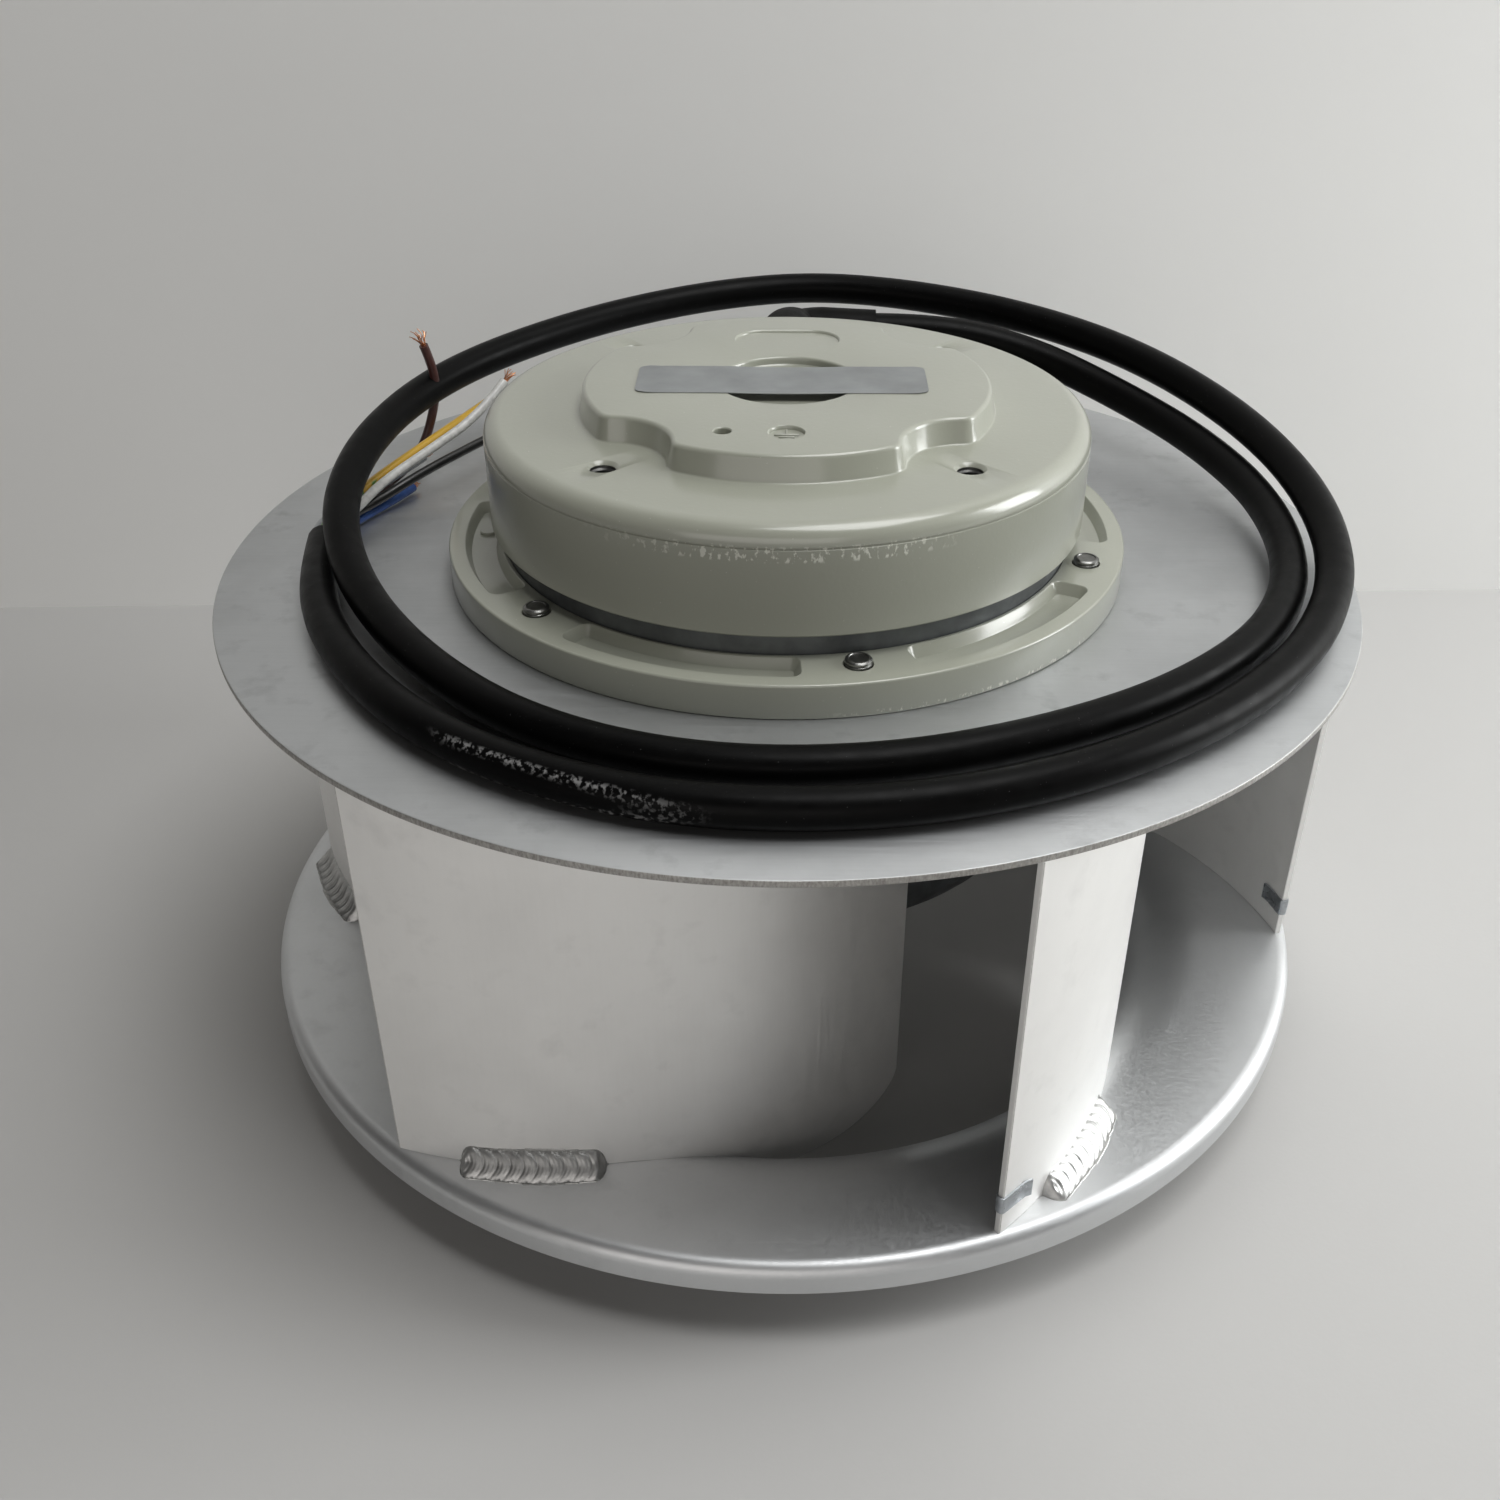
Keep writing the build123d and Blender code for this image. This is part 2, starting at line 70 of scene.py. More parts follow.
forward = Vector((math.sin(camera_yaw) * math.cos(camera_pitch),
                  math.cos(camera_yaw) * math.cos(camera_pitch), -math.sin(camera_pitch)))
right = Vector((math.cos(camera_yaw), -math.sin(camera_yaw), 0))
upward = right.cross(forward)
turn = Matrix((right, upward, -forward)).transposed().to_4x4()
lens = bpy.data.cameras.new("camera")
lens.sensor_width = 36
lens.lens = focal_px / frame_px * lens.sensor_width
lens.shift_x = (frame_px / 2 - principal_px[0]) / frame_px
lens.shift_y = (principal_px[1] - frame_px / 2) / frame_px
lens.clip_start = 0.01
camera = bpy.data.objects.new("camera", lens)
camera.matrix_world = Matrix.Translation(camera_place) @ turn
bpy.context.collection.objects.link(camera)
bpy.context.scene.camera = camera
print("lens", round(lens.lens, 2), "mm")

# %% [markdown]
# Finishes are node trees on object coordinates, in metres, so a pattern keeps its real size
# on every piece. These helpers add a node, join two sockets and make the common patterns.
# %% Helpers for finishes


def finish(name, colour, rough, metallic=0.0):
    made = bpy.data.materials.new(name)
    made.use_nodes = True
    shader = made.node_tree.nodes["Principled BSDF"]
    shader.inputs["Base Color"].default_value = (*colour, 1)
    shader.inputs["Roughness"].default_value = rough
    shader.inputs["Metallic"].default_value = metallic
    return made


def shader_of(made):
    return made.node_tree.nodes["Principled BSDF"]


def node(made, kind, **settings):
    new = made.node_tree.nodes.new(kind)
    for key, value in settings.items():
        setattr(new, key, value)
    return new


def join(made, source, target):
    made.node_tree.links.new(source, target)


def place_of(made):
    return node(made, "ShaderNodeTexCoord").outputs["Object"]


def stretched(made, stretch, turn_z=0.0):
    mapping = node(made, "ShaderNodeMapping")
    mapping.inputs["Scale"].default_value = stretch
    mapping.inputs["Rotation"].default_value = (0, 0, math.radians(turn_z))
    join(made, place_of(made), mapping.inputs["Vector"])
    return mapping.outputs["Vector"]


def noise(made, scale, detail=4.0, stretch=(1, 1, 1), turn_z=0.0, roughness=0.55):
    texture = node(made, "ShaderNodeTexNoise")
    texture.inputs["Scale"].default_value = scale
    texture.inputs["Detail"].default_value = detail
    texture.inputs["Roughness"].default_value = roughness
    join(made, stretched(made, stretch, turn_z), texture.inputs["Vector"])
    return texture.outputs["Fac"]


def spread(made, value, low, high, to_low=0.0, to_high=1.0):
    """Map a value's range onto another one, held at both ends."""
    mapped = node(made, "ShaderNodeMapRange")
    for key, number in (("From Min", low), ("From Max", high), ("To Min", to_low), ("To Max", to_high)):
        mapped.inputs[key].default_value = number
    join(made, value, mapped.inputs["Value"])
    return mapped.outputs["Result"]


def calculate(made, operation, first, second):
    sums = node(made, "ShaderNodeMath", operation=operation)
    for index, value in enumerate((first, second)):
        if isinstance(value, (int, float)):
            sums.inputs[index].default_value = value
        else:
            join(made, value, sums.inputs[index])
    return sums.outputs[0]


def blend_colours(made, amount, first, second):
    mixer = node(made, "ShaderNodeMix", data_type="RGBA")
    join(made, amount, mixer.inputs["Factor"])
    for key, value in (("A", first), ("B", second)):
        socket = [item for item in mixer.inputs if item.name == key and item.type == "RGBA"][0]
        if isinstance(value, tuple):
            socket.default_value = (*value, 1)
        else:
            join(made, value, socket)
    return [item for item in mixer.outputs if item.type == "RGBA"][0]


def bump(made, height, distance, strength=1.0, under=None):
    bumps = node(made, "ShaderNodeBump")
    bumps.inputs["Distance"].default_value = distance
    bumps.inputs["Strength"].default_value = strength
    join(made, height, bumps.inputs["Height"])
    if under is not None:
        join(made, under, bumps.inputs["Normal"])
    return bumps.outputs["Normal"]


def axis_value(made, axis):
    parts = node(made, "ShaderNodeSeparateXYZ")
    join(made, place_of(made), parts.inputs[0])
    return parts.outputs[axis]


print("finish helpers ready")

# %% [markdown]
# Mill sheet is rolled aluminium: a soft sheen that is drawn out along the rolling direction,
# cloudy grey smudges from handling, and a few long scratches. The roughness carries most of
# it, because bare metal shows its marks in the reflections rather than in its colour.
# %% Mill sheet finish


def cut_edge(made, inner, outer):
    """1 on the sheared faces, which lie inside one radius or outside another."""
    reach = node(made, "ShaderNodeVectorMath", operation="LENGTH")
    join(made, stretched(made, (1, 1, 0)), reach.inputs[0])
    out = spread(made, reach.outputs["Value"], outer, outer + 0.1 * mm)
    within = spread(made, reach.outputs["Value"], inner - 0.1 * mm, inner, 1.0, 0.0)
    return calculate(made, "MAXIMUM", out, within)


def mill_sheet(name, tint, rough, grain, smudge, scratch_turn, edges):
    made = finish(name, tint, rough, 0.92)
    shader = shader_of(made)
    clouds = spread(made, noise(made, 22, 6), 0.44, 0.74)
    spots = spread(made, noise(made, 130, 5), 0.54, 0.8)
    dirt = calculate(made, "MULTIPLY", calculate(made, "MAXIMUM", clouds, spots), smudge)
    cut = cut_edge(made, *edges)
    shear = spread(made, noise(made, 1.0, 4, (2000, 2000, 900)), 0.35, 0.65)
    sheared = blend_colours(made, shear, (0.33, 0.318, 0.30), (0.52, 0.51, 0.49))
    dull = tuple(part * 0.62 for part in tint)
    base = blend_colours(made, dirt, tint, dull)
    join(made, blend_colours(made, cut, base, sheared), shader.inputs["Base Color"])
    drawn = noise(made, 1.0, 3, grain)
    streaks = spread(made, drawn, 0.3, 0.7, rough - 0.05, rough + 0.05)
    worn = calculate(made, "ADD", streaks, calculate(made, "MULTIPLY", dirt, 0.16))
    join(made, calculate(made, "ADD", worn, calculate(made, "MULTIPLY", cut, 0.12)), shader.inputs["Roughness"])
    lines = noise(made, 1.0, 2, (26, 1500, 260), scratch_turn)
    scored = spread(made, lines, 0.655, 0.675)
    relief = calculate(made, "ADD", drawn, calculate(made, "MULTIPLY", scored, -0.8))
    relief = calculate(made, "ADD", relief, calculate(made, "MULTIPLY", shear, cut))
    join(made, bump(made, relief, 0.00002, 0.35), shader.inputs["Normal"])
    return made


# One sheet metal in three tints, set by how brightly each part is lit: the plate's dark tint is painted shade, the
# blades' pale tint is painted light, and the shroud's lies between.
plate_metal = mill_sheet("plate_metal", (0.555, 0.567, 0.575), 0.46, (60, 1400, 60), 0.6, 24,
                         (0, plate_r - 0.15 * mm))
blade_metal = mill_sheet("blade_metal", (0.91, 0.905, 0.89), 0.56, (1300, 1300, 90), 0.2, 65,
                         (0, plate_r - 0.22 * mm))
shroud_metal = mill_sheet("shroud_metal", (0.70, 0.712, 0.722), 0.42, (900, 900, 2200), 0.3, -35, (0, 1))
print("sheet finishes:", plate_metal.name, blade_metal.name, shroud_metal.name)

# %% [markdown]
# The cover and the flange ring are castings under thick glossy paint. Real paint of this kind
# has a fine orange-peel skin, sits in soft waves over the casting and is chipped where the
# motor was knocked. The chips are a mask: a band below the cover's rounding, broken by noise.
# %% Painted casting finish


def painted_casting(name, colour, chip_low, chip_high, chip_side):
    made = finish(name, colour, 0.3)
    shader = shader_of(made)
    shader.inputs["Coat Weight"].default_value = 0.75
    shader.inputs["Coat Roughness"].default_value = 0.14
    height = axis_value(made, 2)
    rise = spread(made, height, chip_low, chip_low + 0.6 * mm)
    fall = spread(made, height, chip_high - 0.6 * mm, chip_high, 1.0, 0.0)
    side = calculate(made, "MULTIPLY", spread(made, axis_value(made, 0), chip_side[0], chip_side[1]),
                     spread(made, axis_value(made, 0), chip_side[2], chip_side[3], 1.0, 0.0))
    front = spread(made, axis_value(made, 1), -40 * mm, -30 * mm, 1.0, 0.0)
    broken = spread(made, noise(made, 1.0, 6, (900, 900, 500)), 0.55, 0.6)
    chips = calculate(made, "MULTIPLY", calculate(made, "MULTIPLY", rise, fall), broken)
    chips = calculate(made, "MULTIPLY", calculate(made, "MULTIPLY", side, front), chips)
    tone = spread(made, noise(made, 14, 3), 0.35, 0.65)
    base = blend_colours(made, tone, tuple(part * 0.96 for part in colour), colour)
    dust = spread(made, noise(made, 1900, 2), 0.74, 0.78)
    base = blend_colours(made, calculate(made, "MULTIPLY", dust, 0.5), base, (0.85, 0.85, 0.82))
    base = blend_colours(made, chips, base, (0.68, 0.69, 0.61))
    join(made, base, shader.inputs["Base Color"])
    join(made, spread(made, chips, 0, 1, 0.3, 0.6), shader.inputs["Roughness"])
    skin = calculate(made, "ADD", noise(made, 950, 2), calculate(made, "MULTIPLY", noise(made, 90, 2), 1.6))
    relief = calculate(made, "ADD", skin, calculate(made, "MULTIPLY", chips, -1.2))
    join(made, bump(made, relief, 0.00006, 0.45), shader.inputs["Normal"])
    return made


paint_colour = (0.36, 0.37, 0.31)
cover_paint = painted_casting("cover_paint", paint_colour, plate_top + 31 * mm, plate_top + 35 * mm,
                              (-45 * mm, -15 * mm, 24 * mm, 38 * mm))
flange_paint = painted_casting("flange_paint", paint_colour, plate_top + 0.2 * mm, plate_top + 1.6 * mm,
                               (8 * mm, 20 * mm, 80 * mm, 90 * mm))
print("paint finishes:", cover_paint.name, flange_paint.name)

# %% [markdown]
# Rubber takes dust and pale scuffs. The scuffs lie where the cable's near bend rubbed on
# something, in one thin streak along the outer turn, so a mask of radius and side holds them there. The other small finishes share one recipe:
# a base tone, a little variation and a fine relief.
# %% Rubber and small finishes
scuff_r = 150.6 * mm
scuff_centre = (19.2 * mm, 18.5 * mm)


def scuff_streak(made):
    """A thin streak along the outer turn, from one side position to another."""
    moved = node(made, "ShaderNodeVectorMath", operation="SUBTRACT")
    join(made, stretched(made, (1, 1, 0)), moved.inputs[0])
    moved.inputs[1].default_value = (*scuff_centre, 0)
    reach = node(made, "ShaderNodeVectorMath", operation="LENGTH")
    join(made, moved.outputs["Vector"], reach.inputs[0])
    off = calculate(made, "ABSOLUTE", calculate(made, "SUBTRACT", reach.outputs["Value"], scuff_r), 0)
    near = spread(made, off, 0.1 * mm, 0.9 * mm, 1.0, 0.0)
    side = axis_value(made, 0)
    along = calculate(made, "MULTIPLY", spread(made, side, -72 * mm, -63 * mm),
                      spread(made, side, -34 * mm, -12 * mm, 1.0, 0.0))
    front = spread(made, axis_value(made, 1), -50 * mm, -40 * mm, 1.0, 0.0)
    broken = spread(made, noise(made, 1.0, 6, (900, 900, 900)), 0.5, 0.6)
    streak = calculate(made, "MULTIPLY", calculate(made, "MULTIPLY", near, along), front)
    return calculate(made, "MULTIPLY", streak, broken)


def black_rubber(name, rough, scuffed):
    made = finish(name, (0.0025, 0.0025, 0.0025), rough)
    shader = shader_of(made)
    shader.inputs["Specular IOR Level"].default_value = 0.08
    dust = spread(made, noise(made, 2400, 2), 0.745, 0.775)
    pale = calculate(made, "MULTIPLY", dust, 0.22)
    if scuffed:
        pale = calculate(made, "MAXIMUM", pale, calculate(made, "MULTIPLY", scuff_streak(made), 0.45))
    join(made, blend_colours(made, pale, (0.0025, 0.0025, 0.0025), (0.55, 0.55, 0.55)), shader.inputs["Base Color"])
    join(made, spread(made, noise(made, 240, 4), 0.3, 0.7, rough - 0.06, rough + 0.08), shader.inputs["Roughness"])
    join(made, bump(made, noise(made, 1500, 3), 0.00004, 0.3), shader.inputs["Normal"])
    return made


def small_finish(name, colour, rough, metallic, scale, depth, coat=0.0):
    made = finish(name, colour, rough, metallic)
    shader = shader_of(made)
    shader.inputs["Coat Weight"].default_value = coat
    shade = spread(made, noise(made, scale, 4), 0.35, 0.7)
    darker = tuple(part * 0.72 for part in colour)
    join(made, blend_colours(made, shade, colour, darker), shader.inputs["Base Color"])
    join(made, spread(made, noise(made, scale * 1.7, 3), 0.3, 0.7, rough - 0.06, rough + 0.08),
         shader.inputs["Roughness"])
    join(made, bump(made, noise(made, scale * 4, 3), depth, 0.4), shader.inputs["Normal"])
    return made


def layered_steel(name, colour, pitch):
    """Stacked electrical sheet: fine dark lines, one for each sheet."""
    made = small_finish(name, colour, 0.45, 1.0, 300, 0.00003)
    shader = shader_of(made)
    wave = node(made, "ShaderNodeTexWave", bands_direction="Z")
    wave.inputs["Scale"].default_value = 0.31 / pitch
    wave.inputs["Distortion"].default_value = 0.6
    join(made, place_of(made), wave.inputs["Vector"])
    line = spread(made, wave.outputs["Fac"], 0.0, 0.35)
    join(made, blend_colours(made, line, tuple(part * 0.35 for part in colour), colour),
         shader.inputs["Base Color"])
    return made


def striped_insulation():
    """Protective earth colours: yellow with a green stripe that runs along the core."""
    made = small_finish("insulation_yellow_green", (0.62, 0.42, 0.02), 0.34, 0.0, 500, 0.00002, 0.2)
    height = axis_value(made, 2)
    stripe = spread(made, height, plate_top + 8.6 * mm, plate_top + 9.0 * mm, 1.0, 0.0)
    stripe = calculate(made, "MULTIPLY", stripe, spread(made, noise(made, 160, 1), 0.5, 0.55))
    join(made, blend_colours(made, stripe, (0.66, 0.40, 0.04), (0.06, 0.22, 0.04)),
         shader_of(made).inputs["Base Color"])
    return made


cable_rubber = black_rubber("cable_rubber", 0.38, True)
gland_rubber = black_rubber("gland_rubber", 0.5, False)
weld_metal = small_finish("weld_metal", (0.60, 0.60, 0.59), 0.44, 1.0, 420, 0.00005)
zinc = small_finish("zinc", (0.25, 0.25, 0.24), 0.34, 1.0, 500, 0.00005)
spring_steel = small_finish("spring_steel", (0.50, 0.53, 0.56), 0.3, 1.0, 400, 0.00003)
bearing_steel = small_finish("bearing_steel", (0.62, 0.62, 0.63), 0.14, 1.0, 300, 0.00001)
bell_steel = small_finish("bell_steel", (0.16, 0.17, 0.175), 0.5, 0.8, 180, 0.00008)
# Real threads, with a dark tint that is painted shade inside the tapped holes.
thread_metal = small_finish("thread_metal", (0.17, 0.17, 0.165), 0.42, 1.0, 300, 0.00005)
cast_metal = small_finish("cast_metal", (0.55, 0.56, 0.57), 0.5, 1.0, 260, 0.0001)
core_steel = layered_steel("core_steel", (0.34, 0.35, 0.36), 0.5 * mm)
copper = small_finish("copper", (0.72, 0.33, 0.16), 0.32, 1.0, 800, 0.0001)
sleeve = small_finish("sleeve", (0.72, 0.69, 0.58), 0.6, 0.0, 700, 0.0001)
label_foil = small_finish("label_foil", (0.29, 0.305, 0.31), 0.42, 0.3, 60, 0.00001, 0.1)
insulation = {
    "core_yellow_green": striped_insulation(),
    "core_white": small_finish("insulation_white", (0.72, 0.72, 0.7), 0.36, 0.0, 500, 0.00002, 0.2),
    "core_grey": small_finish("insulation_grey", (0.34, 0.36, 0.38), 0.36, 0.0, 500, 0.00002, 0.2),
    "core_black": small_finish("insulation_black", (0.008, 0.008, 0.008), 0.34, 0.0, 500, 0.00002, 0.2),
    "core_blue": small_finish("insulation_blue", (0.02, 0.09, 0.36), 0.36, 0.0, 500, 0.00002, 0.2),
    "core_brown": small_finish("insulation_brown", (0.075, 0.028, 0.024), 0.36, 0.0, 500, 0.00002, 0.2),
}
print("small finishes:", 14 + len(insulation))

# %% [markdown]
# The cable is a fixed length of stiff rubber hose that keeps its coil. Its route is a short list
# of points, the same as in the model, and a NURBS spline runs smoothly past them.
# The back of the upper turn stands up from the plate, as it does in the photograph: it leans on
# the turn below it at the right, and crosses over the jacket's end at the left.
# %% Cable and cores
cable_r = 4.45 * mm
core_r = 1.25 * mm
core_circle = 2.7 * mm
core_straight = 6.5 * mm
cable_route = [
    (26, 95, 28), (46, 95, 28), (72, 92, 22.5), (96, 75, 15.5), (114.5, 50, 11), (125.5, 17, 7.5),
    (123.5, -21, 5.6), (110, -52, 4.9), (86, -78, 4.8), (55, -97.5, 4.8), (19, -110, 4.8),
    (-19, -110, 4.8), (-53, -95.5, 4.8), (-81, -68, 5.2), (-101.5, -37, 8.7), (-111, -9, 14.7),
    (-110.8, 16, 19.5), (-105.5, 42, 22), (-94, 65, 24.5), (-75.5, 87, 26.5), (-51, 107, 28.5),
    (-22, 122.5, 30), (8, 128.5, 31), (40, 121, 30.5), (72, 106, 28.5), (101, 82, 25),
    (123, 49, 19.5), (134, 13, 14), (133, -24, 9), (119, -57.5, 6), (95, -86.5, 4.9),
    (62, -110.5, 4.8), (24, -124, 4.8), (-15, -125, 4.8), (-49, -114, 4.8), (-78, -93, 4.8),
    (-100, -63, 4.8), (-112.5, -32, 4.8), (-116, -6, 4.8),
]
core_routes = {
    "core_yellow_green": (90, [(-113.5, 13, 7.8), (-110.2, 27, 8), (-99.1, 46.5, 10.9), (-86, 74, 13.4)]),
    "core_white": (30, [(-111.5, 10, 6.8), (-108.2, 24.5, 7.8), (-97.6, 40, 11.2),
                        (-86.6, 56, 15), (-80, 64.4, 22)]),
    "core_black": (-30, [(-113.8, 10.5, 4.6), (-109.2, 19.5, 4.3), (-98.8, 32.5, 7.6),
                         (-86.3, 49.5, 9.4), (-81.5, 56, 10)]),
    "core_grey": (150, [(-116.5, 15, 5.1), (-111.6, 27, 5), (-105, 36.5, 6.4), (-100.2, 42.3, 8.2)]),
    "core_blue": (-90, [(-113.8, 12, 1.7), (-109.8, 21.5, 1.5), (-105, 30.5, 1.7), (-102.8, 36, 1.8)]),
    "core_brown": (210, [(-117.2, 14, 2), (-113, 30, 1.8), (-107, 45, 2.6), (-102.4, 53.2, 7), (-98.4, 54.5, 18),
                         (-96.5, 53, 28), (-98.6, 50.9, 36.5)]),
}
stator_pieces = []
impeller_pieces = []


def on_plate(point):
    return Vector((point[0] * mm, point[1] * mm, plate_top + point[2] * mm))


def spline_piece(name, points, radius, look):
    data = bpy.data.curves.new(name, "CURVE")
    data.dimensions = "3D"
    data.bevel_depth = radius
    data.bevel_resolution = 6
    data.resolution_u = 10
    data.use_fill_caps = True
    line = data.splines.new("NURBS")
    line.points.add(len(points) - 1)
    for place, point in zip(line.points, points):
        place.co = (*point, 1)
    line.order_u = 3
    line.use_endpoint_u = True
    data.materials.append(look)
    piece = bpy.data.objects.new(name, data)
    bpy.context.collection.objects.link(piece)
    return piece


jacket_points = [on_plate(point) for point in cable_route]
jacket = spline_piece("cable", jacket_points, cable_r, cable_rubber)
jacket_end = jacket_points[-1]
heading = (jacket_end - jacket_points[-2]).normalized()
across = heading.cross(Vector((0, 0, 1)))
cores = {}
for name, (angle, points) in core_routes.items():
    angle = math.radians(angle)
    start = jacket_end + across * core_circle * math.cos(angle) + Vector((0, 0, core_circle * math.sin(angle)))
    route = [start, start + heading * core_straight] + [on_plate(point) for point in points]
    cores[name] = (spline_piece(name + "_insulation", route, core_r, insulation[name]), route)
print("cable and", len(cores), "cores")

# %% [markdown]
# Most of the hard pieces are turned or stacked shapes. A profile's corners are given with a
# radius each, and rounded() turns them into fine arcs, so that every edge catches the light as
# the real casting or sheet does. Cutters are built the same way and taken off with a boolean.
# %% Helpers for meshes


def arc(centre, radius, first, last, steps):
    angles = [math.radians(first + (last - first) * step / steps) for step in range(steps + 1)]
    return [(centre[0] + radius * math.cos(a), centre[1] + radius * math.sin(a)) for a in angles]


def rounded(corners, steps=5):
    """Points of a closed outline. Each corner is x, y and its radius."""
    outline = []
    for index, (x, y, radius) in enumerate(corners):
        if not radius:
            outline.append((x, y))
            continue
        here = Vector((x, y))
        before = (Vector(corners[index - 1][:2]) - here).normalized()
        after = (Vector(corners[(index + 1) % len(corners)][:2]) - here).normalized()
        half = before.angle(after) / 2
        centre = here + (before + after).normalized() * radius / math.sin(half)
        first = here + before * radius / math.tan(half) - centre
        last = here + after * radius / math.tan(half) - centre
        sweep = first.angle_signed(last)
        for step in range(steps + 1):
            swing = Matrix.Rotation(-sweep * step / steps, 2)
            outline.append(tuple(centre + swing @ first))
    return outline


def mesh_piece(name, points, faces, look, sharp=32):
    data = bpy.data.meshes.new(name)
    data.from_pydata([tuple(point) for point in points], [], faces)
    work = bmesh.new()
    work.from_mesh(data)
    bmesh.ops.remove_doubles(work, verts=work.verts, dist=1e-7)
    bmesh.ops.dissolve_degenerate(work, edges=work.edges, dist=1e-7)
    bmesh.ops.recalc_face_normals(work, faces=work.faces)
    work.to_mesh(data)
    work.free()
    data.shade_smooth()
    data.set_sharp_from_angle(angle=math.radians(sharp))
    data.materials.append(look)
    piece = bpy.data.objects.new(name, data)
    bpy.context.collection.objects.link(piece)
    return piece


def stacked(name, rings, look, closed=False, caps=False):
    """Join rings of equal length one after another."""
    count = len(rings[0])
    points = [point for ring in rings for point in ring]
    faces = []
    last = len(rings) if closed else len(rings) - 1
    for level in range(last):
        low = level * count
        high = (level + 1) % len(rings) * count
        for step in range(count):
            after = (step + 1) % count
            faces.append((low + step, low + after, high + after, high + step))
    if caps:
        faces.append(tuple(range(count)))
        faces.append(tuple(range(len(points) - count, len(points))))
    return mesh_piece(name, points, faces, look)


def lathe(name, profile, look, turns=256, closed=True, centre=(0, 0)):
    """Turn an outline of (radius, height) points about an upright axis."""
    angles = [2 * math.pi * step / turns for step in range(turns)]
    rings = [[(centre[0] + r * math.cos(a), centre[1] + r * math.sin(a), z) for a in angles] for r, z in profile]
    return stacked(name, rings, look, closed)


def joined(name, pieces):
    """One object from several, which are removed."""
    work = bmesh.new()
    for piece in pieces:
        work.from_mesh(piece.data)
    data = bpy.data.meshes.new(name)
    work.to_mesh(data)
    work.free()
    for look in pieces[0].data.materials:
        data.materials.append(look)
    for piece in pieces:
        bpy.data.objects.remove(piece)
    whole = bpy.data.objects.new(name, data)
    bpy.context.collection.objects.link(whole)
    return whole


def settled(piece, sharp=32):
    """The piece with its modifiers worked into a plain mesh."""
    depsgraph = bpy.context.evaluated_depsgraph_get()
    data = bpy.data.meshes.new_from_object(piece.evaluated_get(depsgraph))
    data.name = piece.name
    piece.modifiers.clear()
    piece.data = data
    data.shade_smooth()
    data.set_sharp_from_angle(angle=math.radians(sharp))
    return piece


def carved(piece, cutters, sharp=32):
    """Take cutters off a piece."""
    tool = joined(piece.name + "_cutter", cutters)
    cut = piece.modifiers.new("cut", "BOOLEAN")
    cut.operation = "DIFFERENCE"
    cut.solver = "EXACT"
    cut.object = tool
    settled(piece, sharp)
    bpy.data.objects.remove(tool)
    return piece


def polar(radius, degrees):
    return (radius * math.cos(math.radians(degrees)), radius * math.sin(math.radians(degrees)))


print("mesh helpers ready")

# %% [markdown]
# Blades, weld beads and screws repeat about the shaft. A Geometry Nodes tree makes the copies:
# points at the centre, one instance of the piece on each, turned by its number times an equal
# step. Its inputs are the piece, the count, the first angle and the finish.
# %% Ring of copies


def ring_tree():
    tree = bpy.data.node_groups.new("ring_of_copies", "GeometryNodeTree")
    for title, kind in (("Piece", "NodeSocketObject"), ("Count", "NodeSocketInt"),
                        ("First angle", "NodeSocketFloat"), ("Finish", "NodeSocketMaterial")):
        tree.interface.new_socket(title, in_out="INPUT", socket_type=kind)
    tree.interface.new_socket("Geometry", in_out="OUTPUT", socket_type="NodeSocketGeometry")
    add = tree.nodes.new
    link = tree.links.new
    given = add("NodeGroupInput")
    result = add("NodeGroupOutput")
    points = add("GeometryNodePoints")
    piece = add("GeometryNodeObjectInfo")
    copies = add("GeometryNodeInstanceOnPoints")
    index = add("GeometryNodeInputIndex")
    step = add("ShaderNodeMath")
    step.operation = "DIVIDE"
    step.inputs[0].default_value = 2 * math.pi
    angle = add("ShaderNodeMath")
    angle.operation = "MULTIPLY_ADD"
    turned = add("ShaderNodeCombineXYZ")
    real = add("GeometryNodeRealizeInstances")
    look = add("GeometryNodeSetMaterial")
    link(given.outputs["Count"], points.inputs["Count"])
    link(given.outputs["Piece"], piece.inputs["Object"])
    link(given.outputs["Count"], step.inputs[1])
    link(index.outputs[0], angle.inputs[0])
    link(step.outputs[0], angle.inputs[1])
    link(given.outputs["First angle"], angle.inputs[2])
    link(angle.outputs[0], turned.inputs["Z"])
    link(points.outputs[0], copies.inputs["Points"])
    link(piece.outputs["Geometry"], copies.inputs["Instance"])
    link(turned.outputs[0], copies.inputs["Rotation"])
    link(copies.outputs[0], real.inputs[0])
    link(real.outputs[0], look.inputs["Geometry"])
    link(given.outputs["Finish"], look.inputs["Material"])
    link(look.outputs[0], result.inputs["Geometry"])
    return tree


copy_tree = ring_tree()


def ring_of_copies(name, piece, count, first_angle, look, sharp=32):
    """Equal copies of a piece about the shaft, as one plain mesh. The piece is removed."""
    holder = bpy.data.objects.new(name, bpy.data.meshes.new(name))
    bpy.context.collection.objects.link(holder)
    copier = holder.modifiers.new("copies", "NODES")
    copier.node_group = copy_tree
    sockets = {item.name: item.identifier for item in copy_tree.interface.items_tree if item.in_out == "INPUT"}
    copier[sockets["Piece"]] = piece
    copier[sockets["Count"]] = count
    copier[sockets["First angle"]] = math.radians(first_angle)
    copier[sockets["Finish"]] = look
    settled(holder, sharp)
    bpy.data.objects.remove(piece)
    print(name, count, "copies,", len(holder.data.polygons), "faces")
    return holder


